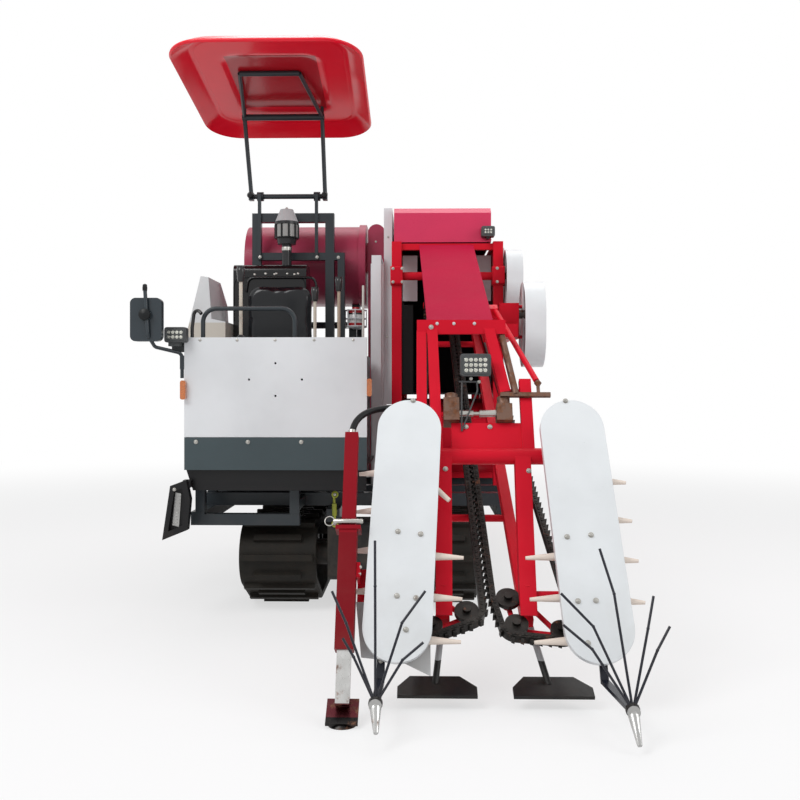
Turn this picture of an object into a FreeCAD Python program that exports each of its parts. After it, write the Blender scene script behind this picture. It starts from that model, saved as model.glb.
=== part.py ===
"""Two-row self-propelled peanut harvester on rubber crawler tracks.

Millimetres. +Z is up, the machine drives towards -Y, and +X is the crop (left-hand) side.
The origin lies on the ground under the middle of the machine's bounding box.
"""
import FreeCAD, Part
import math
import os

os.makedirs("parts", exist_ok=True)
Vector = FreeCAD.Vector

# ---------------------------------------------------------------- driving dimensions
FRONT_Y = -2346.0          # points of the row dividers

# crawler undercarriage
TRACK_X = (-398.0, 345.0)  # centre planes of the right-hand and left-hand tracks
TRACK_WIDTH = 350.0
BELT = 25.0                # thickness of the rubber band
LUG = 22.0                 # height of the cleats
LUG_LENGTH = 30.0
LUG_COUNT = 46
WHEEL_GAP = 0.4            # running gap between a wheel and the band
SPROCKET = (-600.0, 262.0, 125.0)   # y, z and band radius of the drive sprocket
IDLER = (845.0, 228.0, 138.0)       # the same for the rear idler
ROLLER_RADIUS = 62.0
ROLLER_COUNT = 6
ROLLER_FIRST_Y = -440.0
ROLLER_LAST_Y = 650.0
AXLE_RADIUS = 18.0
DRIVE_AXLE_RADIUS = 35.0
BORE_GAP = 0.3

# chassis
RAIL = 60.0                # square rails of the chassis
RAIL_Z = 420.0             # underside of the rails
DECK_Z = RAIL_Z + RAIL             # underside of the cross members
RIGHT_RAIL_X = -780.0      # outer face of the right-hand rail
LEFT_RAIL_X = 672.0        # outer face of the left-hand rail
INNER_RAIL_X = (-150.0, 100.0)
ELEVATOR_MEMBER_Y = 630.0  # cross member that carries the pod elevator

# operator's station
PANEL_X = (-790.0, 17.0)
PANEL_Y = -880.0           # front face of the sheet panels
PANEL_SHEET = 18.0
PANEL_Z = (820.0, 1260.0)
LOWER_PANEL_Z = (675.0, 820.0)
PANEL_HOLE = 5.0           # radius of the four accessory holes
PANEL_HOLE_GAP = (234.0, 144.0)     # across and up
PANEL_HOLE_SHIFT = (0.0, 34.0)      # of their middle from the panel's middle
FLOOR_Z = 675.0
FLOOR = 12.0
SEAT_X = -510.0
SEAT_WIDTH = 460.0
SEAT_Z = 1130.0            # underside of the seat cushion
CUSHION = 100.0
HOOD_TOP = 1715.0

# roll frame and canopy
ROLL_Y = 380.0
ROLL_X = (-683.0, -265.0)
ROLL_TOP = 2030.0
ROLL_TUBE = 50.0
CROSS_TUBE_Z = 1784.0
CANOPY_PIVOT_Z = 2130.0
CANOPY_POST_X = (-664.0, -339.0)
CANOPY_TUBE = 14.0         # radius of the canopy's tubes
CANOPY_SIZE = (960.0, 1150.0, 75.0)
CANOPY_FLARE = 105.0       # how far the crown's edge lies inside the rim
CANOPY_CENTRE = (-510.0, 20.0, 2607.0)
REAR_BAR = (320.0, 62.0)   # y of the canopy's rear bar and its drop below the crown
FRONT_BAR_Y = -100.0
CANOPY_TILT = 8.5
CANOPY_WALL = 8.0

# hopper
HOPPER_X = (-775.0, -70.0)
HOPPER_AXIS = (700.0, 1772.0)
HOPPER_RADIUS = 232.0
HOPPER_REAR = 1150.0
HOPPER_WALL = 8.0
HOPPER_PIVOT = (-745.0, 1513.0)
STAND_TOP = 1450.0
HOPPER_PIN = 16.0

# picking unit
PICK_X = (106.0, 672.0)
PICK_FRONT_Y = -195.0
PICK_REAR_Y = 1850.0
CHASSIS_REAR_Y = PICK_REAR_Y + 5.0
REAR_Y = PICK_REAR_Y + 500.0        # lip of the vine chute
PICK_TOP = 1780.0
HOOD_HEIGHT = 180.0
HOOD_X = (117.0, 613.0)
FAN = (230.0, 770.0, 205.0)  # y, z and radius of the fan housing
FAN_WALL = 6.0
FAN_SHAFT = 16.0

FRONT_GUARD = (-640.0, 1133.0, 1527.0, 150.0)   # y, low and high z, end radius
REAR_GUARD = (-179.0, 1444.0, 1741.0, 125.0)
FRONT_GUARD_X = (722.0, 815.0)
REAR_GUARD_X = (683.0, 765.0)
FRONT_SHAFT_Z = 1377.0
PULLEY_SHAFT = 20.0

# header and its conveyor
PIVOT = (-195.0, 1606.0)   # y and z of the header's hinge shaft
PIVOT_RADIUS = 21.0
SLEEVE_WALL = 14.0
BEARING = 94.0             # side of the square bearings on the hinge shaft
SLEEVE_WIDTH = 45.0
CLAMP_ANGLE = 36.0         # incline of the clamp chains
MOUTH = (-1900.0, 250.0)   # y and z of the clamp plane's lower end
COVER_ANGLE = 23.4         # incline of the conveyor's cover
COVER_RISE = 145.0         # cover's underside above the hinge axis
ROW_ANGLE = 62.66          # incline of the row cases
ROW_BASE_Y = -2148.0       # where the row covers' front plane meets the ground
BEAM = 40.0
LEG = 56.0
FRAME_DEPTH = -124.0       # centre plane of the front frame behind the row covers
ROW_COVER = (225.0, 925.0, 28.0)
ROW_SPLAY = 2.9
ROW_TOP_X = (218.0, 782.0)
ROW_FOOT_S = 196.0
FINGER_PITCH = 140.0
FINGER_REACH = (168.0, 207.0)   # tips of the outer and inner fingers from the case's middle
CHAIN = 34.0               # thickness of the clamp chains
CHAIN_BAND = 20.0
JACK_X = 10.0
JACK_ROD = 44.0            # side of the jack's square leg
JACK_WALL = 8.0
JACK_UPPER = 46.0          # side of the upper jack tube
JACK_GAP = 0.3
SHOVEL_WIDTH = 260.0

# lift cylinders
RAM_RADIUS = 32.0
RAM_ROD = 16.0
RAM_PIN = 14.0
LIFT_BASE = (297.0, -470.0, 600.0)
LIFT_EYE_T = 1150.0        # place of the lift rod's eye along the left rail
LIFT_CLOSING = 80.0        # how far the lift rod goes in from rest
EYE_WIDTH = 36.0
EYE_GAP = 2.0              # side play between a rod's eye and its ears
TIP_BASE = (-680.0, 780.0, 620.0)
TIP_EYE = (-560.0, 780.0, 1486.0)


# ---------------------------------------------------------------- shape helpers
def save(node, *solids):
    """Write one node, as a single solid or as several that do not touch."""
    shape = solids[0] if len(solids) == 1 else Part.makeCompound(list(solids))
    shape.exportStep("parts/" + node + ".step")


def block(x, y, z):
    """A box between a low and a high value on each axis."""
    return Part.makeBox(x[1] - x[0], y[1] - y[0], z[1] - z[0], Vector(x[0], y[0], z[0]))


def around(centre, size):
    """A low and high pair of the given size about a centre."""
    return (centre - size / 2.0, centre + size / 2.0)


def rounded(x, y, z, radius, axis):
    """A box whose four edges along one axis ("x", "y" or "z") are rounded."""
    box = block(x, y, z)
    edges = [e for e in box.Edges if abs(getattr(e.tangentAt(0), axis)) > 0.9]
    return box.makeFillet(radius, edges)


def rod(start, end, radius):
    """A round bar between two points."""
    start = Vector(*start)
    run = Vector(*end) - start
    return Part.makeCylinder(radius, run.Length, start, run)


def cone(start, end, radius_start, radius_end):
    """A tapered round bar between two points."""
    start = Vector(*start)
    run = Vector(*end) - start
    return Part.makeCone(radius_start, radius_end, run.Length, start, run)


def ring(start, end, outer, inner):
    """A tube between two points."""
    return rod(start, end, outer).cut(rod(start, end, inner))


def beam(start, end, width, depth):
    """A rectangular bar between two points, `width` across X and `depth` the other way."""
    start = Vector(*start)
    run = Vector(*end) - start
    side = (Vector(1, 0, 0) - run * (run.x / run.Length ** 2)).normalize() * (width / 2.0)
    up = run.cross(side).normalize() * (depth / 2.0)
    corners = [start + side + up, start + side - up, start - side - up, start - side + up]
    return Part.Face(Part.makePolygon(corners + corners[:1])).extrude(run)


def slab(points, x):
    """A plate whose outline is a list of (y, z) points, between two X values."""
    wire = Part.makePolygon([Vector(x[0], p, q) for p, q in points + points[:1]])
    return Part.Face(wire).extrude(Vector(x[1] - x[0], 0, 0))


def front_plate(points, y):
    """A plate whose outline is a list of (x, z) points, between two Y values."""
    wire = Part.makePolygon([Vector(p, y[0], q) for p, q in points + points[:1]])
    return Part.Face(wire).extrude(Vector(0, y[1] - y[0], 0))


def joined(*shapes):
    """All the shapes as one solid."""
    body = shapes[0].multiFuse(list(shapes[1:])).removeSplitter()
    return body.Solids[0] if len(body.Solids) == 1 else body


def bent_tube(points, radius, bend):
    """A tube along straight runs with tangent arcs of radius `bend` at the corners."""
    points = [Vector(*p) for p in points]
    edges = []
    start = points[0]
    for before, corner, after in zip(points, points[1:], points[2:]):
        back = (before - corner).normalize()
        ahead = (after - corner).normalize()
        half = back.getAngle(ahead) / 2.0
        reach = bend / math.tan(half)
        entry = corner + back * reach
        leave = corner + ahead * reach
        middle = corner + (back + ahead).normalize() * (bend / math.sin(half) - bend)
        edges.append(Part.LineSegment(start, entry).toShape())
        edges.append(Part.Arc(entry, middle, leave).toShape())
        start = leave
    edges.append(Part.LineSegment(start, points[-1]).toShape())
    path = Part.Wire(edges)
    section = Part.Wire(Part.makeCircle(radius, points[0], points[1] - points[0]))
    return path.makePipeShell([section], True, False)


def hull_edges(circles, grow):
    """Tangent lines and arcs of a band round circles (p, q, radius), listed anticlockwise.

    Returns pairs of points, one pair for each straight run, in the (p, q) plane.
    """
    runs = []
    for (p1, q1, r1), (p2, q2, r2) in zip(circles, circles[1:] + circles[:1]):
        length = math.hypot(p2 - p1, q2 - q1)
        along = ((p2 - p1) / length, (q2 - q1) / length)
        lean = (r1 - r2) / length
        across = math.sqrt(1.0 - lean * lean)
        normal = (along[0] * lean + along[1] * across, along[1] * lean - along[0] * across)
        a = (p1 + normal[0] * (r1 + grow), q1 + normal[1] * (r1 + grow))
        b = (p2 + normal[0] * (r2 + grow), q2 + normal[1] * (r2 + grow))
        runs.append((a, b))
    return runs


def hull_face(circles, grow, place):
    """The face inside a band round circles; `place` turns (p, q) into a point in space."""
    runs = hull_edges(circles, grow)
    edges = []
    for i, (a, b) in enumerate(runs):
        p, q, r = circles[(i + 1) % len(circles)]
        leave = runs[(i + 1) % len(runs)][0]
        edges.append(Part.LineSegment(place(*a), place(*b)).toShape())
        first = math.atan2(b[1] - q, b[0] - p)
        sweep = (math.atan2(leave[1] - q, leave[0] - p) - first) % (2.0 * math.pi)
        half = first + sweep / 2.0
        middle = (p + math.cos(half) * (r + grow), q + math.sin(half) * (r + grow))
        edges.append(Part.Arc(place(*b), place(*middle), place(*leave)).toShape())
    return Part.Face(Part.Wire(edges))


def hull_walk(circles, grow, count):
    """`count` evenly spaced (p, q, outward angle) stations along a band round circles."""
    runs = hull_edges(circles, grow)
    pieces = []
    for i, (a, b) in enumerate(runs):
        p, q, r = circles[(i + 1) % len(circles)]
        leave = runs[(i + 1) % len(runs)][0]
        heading = math.atan2(b[1] - a[1], b[0] - a[0])
        pieces.append((math.dist(a, b), a, heading, None))
        first = math.atan2(b[1] - q, b[0] - p)
        sweep = (math.atan2(leave[1] - q, leave[0] - p) - first) % (2.0 * math.pi)
        pieces.append((sweep * (r + grow), (p, q), first, r + grow))
    total = sum(piece[0] for piece in pieces)
    stations = []
    for i in range(count):
        left = total * i / count
        for length, origin, angle, radius in pieces:
            if left <= length:
                break
            left -= length
        if radius is None:
            spot = (origin[0] + math.cos(angle) * left, origin[1] + math.sin(angle) * left)
            stations.append((spot[0], spot[1], angle - math.pi / 2.0))
        else:
            out = angle + left / radius
            stations.append((origin[0] + math.cos(out) * radius,
                             origin[1] + math.sin(out) * radius, out))
    return stations


# ---------------------------------------------------------------- inclined planes of the header
CLAMP_COS = math.cos(math.radians(CLAMP_ANGLE))
CLAMP_SIN = math.sin(math.radians(CLAMP_ANGLE))
COVER_COS = math.cos(math.radians(COVER_ANGLE))
COVER_SIN = math.sin(math.radians(COVER_ANGLE))
ROW_COS = math.cos(math.radians(ROW_ANGLE))
ROW_SIN = math.sin(math.radians(ROW_ANGLE))


def clamp(x, t, rise=0.0):
    """A point on the clamp chains' plane: t up the incline from the mouth, rise above it."""
    return (x, MOUTH[0] + CLAMP_COS * t - CLAMP_SIN * rise, MOUTH[1] + CLAMP_SIN * t + CLAMP_COS * rise)


def cover(x, u, rise):
    """A point on the conveyor's cover frame: u down the incline from the hinge axis."""
    return (x, PIVOT[0] - COVER_COS * u - COVER_SIN * rise, PIVOT[1] - COVER_SIN * u + COVER_COS * rise)


def row(x, s, out=0.0):
    """A point on the row covers' plane: s up the incline from the ground, out in front of it."""
    return (x, ROW_BASE_Y + ROW_COS * s - ROW_SIN * out, ROW_SIN * s + ROW_COS * out)


# ---------------------------------------------------------------- crawler undercarriage
ROLLER_Z = LUG + BELT + ROLLER_RADIUS + WHEEL_GAP
ROLLER_Y = [ROLLER_FIRST_Y + i * (ROLLER_LAST_Y - ROLLER_FIRST_Y) / (ROLLER_COUNT - 1)
            for i in range(ROLLER_COUNT)]
CARRIER_RADIUS = 42.0
CARRIER_Y = 130.0
TRACK_PATH = [SPROCKET,
              (ROLLER_FIRST_Y, ROLLER_Z, ROLLER_RADIUS + WHEEL_GAP),
              (ROLLER_LAST_Y, ROLLER_Z, ROLLER_RADIUS + WHEEL_GAP),
              IDLER]
TRACK_TOP = (SPROCKET[1] + SPROCKET[2] + IDLER[1] + IDLER[2]) / 2.0
CARRIER_Z = TRACK_TOP - CARRIER_RADIUS - 1.5


def track(centre):
    """A rubber band round the wheels with cleats, alternately long and short."""
    left = centre - TRACK_WIDTH / 2.0

    def place(y, z):
        return Vector(left, y, z)

    band = hull_face(TRACK_PATH, BELT, place).cut(hull_face(TRACK_PATH, 0.0, place))
    band = band.Faces[0].extrude(Vector(TRACK_WIDTH, 0, 0))
    cleats = []
    for i, (y, z, angle) in enumerate(hull_walk(TRACK_PATH, BELT, LUG_COUNT)):
        width = TRACK_WIDTH - 24.0 if i % 2 == 0 else TRACK_WIDTH * 0.62
        cleat = block(around(centre, width), (-4.0, LUG), around(0.0, LUG_LENGTH))
        cleat.rotate(Vector(0, 0, 0), Vector(1, 0, 0), math.degrees(angle))
        cleat.translate(Vector(0, y, z))
        cleats.append(cleat)
    ground = block(around(centre, TRACK_WIDTH + 20), (-1200, 1400), (-30, 0))
    return joined(band, *cleats).cut(ground)


def sprocket_wheel(centre):
    """The toothed drive wheel of one track, with notches for the band's bars."""
    y, z, radius = SPROCKET
    rim = radius - WHEEL_GAP
    wheel = rod((centre - 24, y, z), (centre + 24, y, z), rim)
    for i in range(12):
        angle = math.radians(30.0 * i)
        ny = y + rim * math.cos(angle)
        nz = z + rim * math.sin(angle)
        wheel = wheel.cut(rod((centre - 30, ny, nz), (centre + 30, ny, nz), 20.0))
    hub = rod((centre - 45, y, z), (centre + 45, y, z), 62.0)
    bore = rod((centre - 50, y, z), (centre + 50, y, z), DRIVE_AXLE_RADIUS + BORE_GAP)
    return joined(wheel, hub).cut(bore)


def idler_wheel(centre):
    """The plain rear wheel that tightens the track."""
    y, z, radius = IDLER
    wheel = rod((centre - 40, y, z), (centre + 40, y, z), radius - WHEEL_GAP)
    for side in (-1, 1):
        wheel = wheel.cut(ring((centre + side * 22, y, z), (centre + side * 45, y, z), radius - 30, 50))
    return wheel.cut(rod((centre - 50, y, z), (centre + 50, y, z), AXLE_RADIUS + BORE_GAP))


def roller(centre, y, z, radius):
    """A spool-shaped roller with two treads."""
    wheel = rod((centre - 48, y, z), (centre + 48, y, z), radius)
    wheel = wheel.cut(ring((centre - 14, y, z), (centre + 14, y, z), radius + 5, radius - 18))
    return wheel.cut(rod((centre - 55, y, z), (centre + 55, y, z), AXLE_RADIUS + BORE_GAP))


def track_frame(centre):
    """The beam of one track, with ears and axles for its rollers and its idler's fork."""
    parts = [block(around(centre, 90), (ROLLER_FIRST_Y - 20, ROLLER_LAST_Y + 52), (190, 270))]
    for y in ROLLER_Y:
        parts.append(rod((centre - 66, y, ROLLER_Z), (centre + 66, y, ROLLER_Z), AXLE_RADIUS))
        for side in (-1, 1):
            x = sorted((centre + side * 50, centre + side * 62))
            ear = [(y - 32, 200), (y - 20, ROLLER_Z - 24), (y + 20, ROLLER_Z - 24), (y + 32, 200)]
            parts.append(slab(ear, x))
            parts.append(block(x, (y - 32, y + 32), (200, 262)))
            parts.append(block(sorted((centre + side * 44, centre + side * 62)), (y - 32, y + 32),
                               (240, 262)))
    parts.append(rod((centre - 62, IDLER[0], IDLER[1]), (centre + 62, IDLER[0], IDLER[1]), AXLE_RADIUS))
    for side in (-1, 1):
        x = sorted((centre + side * 44, centre + side * 56))
        parts.append(block(x, (ROLLER_LAST_Y - 20, IDLER[0] + 30), (IDLER[1] - 26, IDLER[1] + 26)))
    parts.append(rod((centre - 60, CARRIER_Y, CARRIER_Z), (centre + 60, CARRIER_Y, CARRIER_Z), AXLE_RADIUS))
    for side in (-1, 1):
        x = sorted((centre + side * 50, centre + side * 60))
        parts.append(block(x, around(CARRIER_Y, 44), (262, CARRIER_Z + 24)))
        parts.append(block(sorted((centre + side * 44, centre + side * 60)), around(CARRIER_Y, 44),
                           (240, 264)))
    return joined(*parts)


def undercarriage():
    """Both track frames, the two cross tubes and the brackets up to the chassis rails."""
    parts = [track_frame(x) for x in TRACK_X]
    for y in (-230.0, 430.0):
        parts.append(block((TRACK_X[0], TRACK_X[1]), around(y, 70), (195, 265)))
        for x in INNER_RAIL_X:
            parts.append(block(around(x, RAIL), around(y, 70), (250, RAIL_Z)))
    return joined(*parts)


for name, centre in zip(("right", "left"), TRACK_X):
    save("track_" + name, track(centre))
wheels = []
for centre in TRACK_X:
    wheels += [sprocket_wheel(centre), idler_wheel(centre)]
    wheels += [roller(centre, y, ROLLER_Z, ROLLER_RADIUS) for y in ROLLER_Y]
    wheels.append(roller(centre, CARRIER_Y, CARRIER_Z, CARRIER_RADIUS))
save("track_wheels", *wheels)
save("undercarriage_frame", undercarriage())

gearbox = [rounded(around(sum(INNER_RAIL_X) / 2.0, 300), (-690, -480), (150, RAIL_Z), 30, "x")]
gearbox.append(rod((TRACK_X[0] + 60, SPROCKET[0], SPROCKET[1]),
                   (TRACK_X[1] - 60, SPROCKET[0], SPROCKET[1]), 52.0))
gearbox.append(rod((TRACK_X[0] - 46, SPROCKET[0], SPROCKET[1]),
                   (TRACK_X[1] + 46, SPROCKET[0], SPROCKET[1]), DRIVE_AXLE_RADIUS))
save("drive_gearbox", joined(*gearbox))


# ---------------------------------------------------------------- chassis and operator's platform
def chassis():
    """Rails along the machine, cross members on top of them and the front beam."""
    rail_z = (RAIL_Z, RAIL_Z + RAIL)
    deck_z = (DECK_Z, DECK_Z + RAIL)
    right = (RIGHT_RAIL_X, RIGHT_RAIL_X + RAIL)
    left = (LEFT_RAIL_X - RAIL, LEFT_RAIL_X)
    parts = [block(right, (-800, 1160), rail_z),
             block(left, (-560, CHASSIS_REAR_Y), rail_z),
             block((RIGHT_RAIL_X, -290), (-800, -750), (RAIL_Z, RAIL_Z + 50))]
    for x, rear in zip(INNER_RAIL_X, (1160, CHASSIS_REAR_Y)):
        parts.append(block(around(x, RAIL), (-690, rear), rail_z))
    for y in (-560.0, PICK_FRONT_Y - 30, 200.0, 380.0, 1100.0):
        parts.append(block((RIGHT_RAIL_X, LEFT_RAIL_X), (y, y + RAIL), deck_z))
    for y in (ELEVATOR_MEMBER_Y, 855.0, CHASSIS_REAR_Y - RAIL):
        left_x = (INNER_RAIL_X[0] if y == ELEVATOR_MEMBER_Y else INNER_RAIL_X[1]) - RAIL / 2
        parts.append(block((left_x, LEFT_RAIL_X), (y, y + RAIL), deck_z))
    for x in (-760.0, -335.0):
        parts.append(block((x, x + 42), (-798, -756), (RAIL_Z, FLOOR_Z - 70)))
    parts.append(block((-335, -293), (-798, -500), (DECK_Z + 8, DECK_Z + 50)))
    for x in (-760.0, -60.0):
        parts.append(block((x, x + 42), (-550, -508), (DECK_Z, FLOOR_Z - 70)))
    for side in (-1, 1):
        ear = [(-550, 540), (-500, 500), (-448, 578), (-448, 622), (-492, 622)]
        x = sorted((LIFT_BASE[0] + side * 24, LIFT_BASE[0] + side * 36))
        parts.append(slab(ear, x))
    parts.append(rod((LIFT_BASE[0] - 42, LIFT_BASE[1], LIFT_BASE[2]),
                     (LIFT_BASE[0] + 42, LIFT_BASE[1], LIFT_BASE[2]), RAM_PIN))
    return joined(*parts)


save("chassis_frame", chassis())

platform = [block((PANEL_X[0] + 4, PANEL_X[1] - 4), (PANEL_Y + PANEL_SHEET + 2, -352),
                  (FLOOR_Z, FLOOR_Z + FLOOR)),
            block((SEAT_X + SEAT_WIDTH / 2 + 15.3, PANEL_X[1] - 4), (-360, -165.3),
                  (FLOOR_Z, FLOOR_Z + FLOOR))]
skirt = [(PANEL_X[0] + 4, FLOOR_Z), (PANEL_X[0] + 34, FLOOR_Z - 92), (PANEL_X[1] - 4, FLOOR_Z - 92),
         (PANEL_X[1] - 4, FLOOR_Z)]
platform.append(front_plate(skirt, (PANEL_Y + PANEL_SHEET + 2, PANEL_Y + PANEL_SHEET + 14)))
for x in (-766.0, -335.0, -60.0):
    platform.append(block((x, x + 50), (PANEL_Y + PANEL_SHEET + 10, -352 if x < -300 else -165.3),
                          (FLOOR_Z - 70, FLOOR_Z)))
for x in (PANEL_X[0] + 14, PANEL_X[1] - 54):
    platform.append(block((x, x + 40), (PANEL_Y + PANEL_SHEET, PANEL_Y + PANEL_SHEET + 40),
                          (FLOOR_Z + FLOOR, PANEL_Z[1] - 10)))
platform.append(block((PANEL_X[0] + 14, PANEL_X[1] - 14),
                      (PANEL_Y + PANEL_SHEET, PANEL_Y + PANEL_SHEET + 40),
                      (PANEL_Z[1] - 50, PANEL_Z[1] - 10)))
save("platform_frame", joined(*platform))

panel_mid = (sum(PANEL_X) / 2.0 + PANEL_HOLE_SHIFT[0], sum(PANEL_Z) / 2.0 + PANEL_HOLE_SHIFT[1])
front_panel = block(PANEL_X, (PANEL_Y, PANEL_Y + PANEL_SHEET), PANEL_Z)
for dx, dz in ((PANEL_HOLE_GAP[0] / 2, 0), (-PANEL_HOLE_GAP[0] / 2, 0), (0, PANEL_HOLE_GAP[1] / 2),
               (0, -PANEL_HOLE_GAP[1] / 2)):
    hole_x = panel_mid[0] + dx
    hole_z = panel_mid[1] + dz
    front_panel = front_panel.cut(rod((hole_x, PANEL_Y - 1, hole_z), (hole_x, PANEL_Y + 30, hole_z),
                                      PANEL_HOLE))
save("front_panel", front_panel)
save("lower_panel", block(PANEL_X, (PANEL_Y, PANEL_Y + PANEL_SHEET), (LOWER_PANEL_Z[0],
                                                                      LOWER_PANEL_Z[1] - 1)))

STEP_Y = (PANEL_Y - 45, PANEL_Y - 5)
step = front_plate([(-841, 609), (-771, 635), (-753, 550), (-765, 417), (-876, 372)], STEP_Y)
tread = front_plate([(-826, 584), (-790, 598), (-776, 550), (-788, 436), (-850, 410)],
                    (STEP_Y[0] - 1, STEP_Y[1] - 10))
step_arm = block((-790, -756), (STEP_Y[1] - 20, PANEL_Y + PANEL_SHEET + 1.7), (600, 632))
save("boarding_step", joined(step.cut(tread), step_arm))

rail_y = PANEL_Y + PANEL_SHEET + 20
save("handrail", bent_tube([(-715, rail_y, PANEL_Z[1] - 10), (-715, rail_y, 1390),
                            (-305, rail_y, 1390), (-305, rail_y, PANEL_Z[1] - 10)], 10, 60))

# ---------------------------------------------------------------- engine, hoods and seat
save("engine_block", block((-690, -410), (-300, 330), (DECK_Z + RAIL, 1040)))
seat_box = (SEAT_X - SEAT_WIDTH / 2 - 15, SEAT_X + SEAT_WIDTH / 2 + 15)
hood_x = (-778, -375)
cover_base = DECK_Z + RAIL + 0.3
cover_low = block(seat_box, (-350, 170), (cover_base, SEAT_Z))
cover_low = cover_low.cut(block((seat_box[0] + 6, seat_box[1] - 6), (-344, 200), (0, SEAT_Z - 6)))
rear_hood = joined(rounded(hood_x, (160, 345), (1000, HOOD_TOP), 40, "x"),
                   block(hood_x, (160, 345), (cover_base, 1200)))
rear_hood = rear_hood.cut(block((hood_x[0] + 6, hood_x[1] - 6), (155, 339), (0, 1100)))
save("engine_cover", joined(cover_low, rear_hood))

radiator = [(-985, FLOOR_Z - 60), (-985, 1320), (-910, 1626), (-868, 1620), (-852, 1400),
            (hood_x[0] - 0.3, 1385), (hood_x[0] - 0.3, FLOOR_Z - 60)]
radiator_cover = front_plate(radiator, (-50, 400))
rear_slope = slab([(150, 1700), (410, 1500), (410, 1700)], (-1000, -780))
save("radiator_cover", radiator_cover.cut(rear_slope))

cushion_x = (SEAT_X - SEAT_WIDTH / 2, SEAT_X + SEAT_WIDTH / 2)
save("seat_cushion", rounded(cushion_x, (-330, 60), (SEAT_Z + 0.3, SEAT_Z + CUSHION), 45, "z"))
back = rounded((cushion_x[0] + 30, cushion_x[1] - 30), (60.3, 146), (SEAT_Z + 60, 1612), 90, "y")
save("seat_back", back)

# ---------------------------------------------------------------- roll frame and air intake
def roll_frame():
    """Two uprights with a top bar, a lower cross tube and the canopy's clamp posts."""
    y = around(ROLL_Y, ROLL_TUBE)
    parts = [block(around(x, ROLL_TUBE), y, (DECK_Z + RAIL, ROLL_TOP)) for x in ROLL_X]
    parts.append(block((ROLL_X[0], ROLL_X[1]), y, (ROLL_TOP - ROLL_TUBE, ROLL_TOP)))
    parts.append(block((ROLL_X[0], ROLL_X[1] + 70), y, around(CROSS_TUBE_Z, 42)))
    parts.append(block((ROLL_X[1] + 45, ROLL_X[1] + 85), y, (DECK_Z + RAIL, CROSS_TUBE_Z + 21)))
    for x in CANOPY_POST_X:
        parts.append(block(around(x, 18), (y[0] - 18, y[0] + 2), (CROSS_TUBE_Z - 21, CANOPY_PIVOT_Z + 8)))
        parts.append(rod((x - 18, ROLL_Y, CANOPY_PIVOT_Z), (x + 18, ROLL_Y, CANOPY_PIVOT_Z),
                         CANOPY_TUBE + 12))
    frame = joined(*parts)
    return frame.cut(rod((ROLL_X[0] - 60, ROLL_Y, CANOPY_PIVOT_Z), (ROLL_X[1] + 60, ROLL_Y, CANOPY_PIVOT_Z),
                         CANOPY_TUBE + BORE_GAP))


save("roll_frame", roll_frame())


def cleaner_ring(z, radius_low, radius_high):
    """One round or tapered stage of the air pre-cleaner between two heights."""
    x, y = (-495.0, 250.0)
    if radius_low == radius_high:
        return rod((x, y, z[0]), (x, y, z[1]), radius_low)
    return cone((x, y, z[0]), (x, y, z[1]), radius_low, radius_high)


save("air_precleaner", joined(cleaner_ring((HOOD_TOP, 1840), 27, 27), cleaner_ring((1835, 1868), 50, 56),
                              cleaner_ring((1868, 1945), 63, 63), cleaner_ring((1945, 1960), 68, 68),
                              cleaner_ring((1960, 2030), 66, 36)))

# ---------------------------------------------------------------- controls, mirror and lamps
console = [joined(block((-258, -5), (-480, -210), (FLOOR_Z + FLOOR, 1190)),
                  block((-290, -250), (-480, -356), (FLOOR_Z + FLOOR, 1190))),
           block((-640, -470), (PANEL_Y + PANEL_SHEET + 40, -740), (1000, 1235)),
           block((-640, -600), (PANEL_Y + PANEL_SHEET + 40, -760), (FLOOR_Z + FLOOR, 1000))]
save("control_console", console[0], joined(*console[1:]))
levers = []
for x, y, foot, top in ((-556, -790, 1235, 1520), (-268, -375, 1190, 1468), (-150, -375, 1190, 1518)):
    shaft = rod((x, y, foot), (x, y, top), 8)
    levers.append(joined(shaft, cone((x, y, top - 6), (x, y, top + 64), 13, 18)))
levers.append(rod((-30, -375, 1190), (-30, -375, 1540), 6))
hook_y = PANEL_Y + PANEL_SHEET + 20
levers.append(bent_tube([(-764, hook_y, PANEL_Z[1] - 9.7), (-764, hook_y, 1305), (-752, hook_y, 1400),
                         (-718, hook_y - 20, 1366)], 8, 20))
save("control_levers", *levers)

MIRROR = (-922.0, -1000.0, 1330.0)
arm = bent_tube([(PANEL_X[0] - 12, PANEL_Y + 10, 1080), (PANEL_X[0] - 12, PANEL_Y + 10, 1190),
                 (-900, -950, 1215), (MIRROR[0] + 12, MIRROR[1] - 26, 1262), (MIRROR[0], MIRROR[1] - 26,
                                                                              1462)], 8, 26)
bracket = block((PANEL_X[0] - 20, PANEL_X[0]), (PANEL_Y + 2, PANEL_Y + 16), (1120, 1180))
save("side_mirror", joined(arm, bracket, rod((MIRROR[0], MIRROR[1] - 30, MIRROR[2] + 20),
                                             (MIRROR[0], MIRROR[1] - 13, MIRROR[2] + 20), 24),
                            rounded(around(MIRROR[0], 136), (MIRROR[1] - 14, MIRROR[1] + 22),
                                    around(MIRROR[2], 186),
                                    24, "y")))
lamp_bracket = joined(block((-850, PANEL_X[0] + 13.7), (PANEL_Y + 20, PANEL_Y + 44), (1196, 1238)),
                      block((-850, -800), (PANEL_Y - 40, PANEL_Y + 44), (1220, 1238)))
right_lamp = rounded((-866, -770), (PANEL_Y - 45, PANEL_Y - 4), (1236, 1303), 10, "y")
hood_lamp = joined(rounded((560, 628), (-250, -196), (PICK_TOP + 20, PICK_TOP + 72), 8, "y"),
                   block((586, 602), (-230, -190.3), (PICK_TOP + 12, PICK_TOP + 30)))
save("work_lamps", joined(lamp_bracket, right_lamp), hood_lamp)
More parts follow.
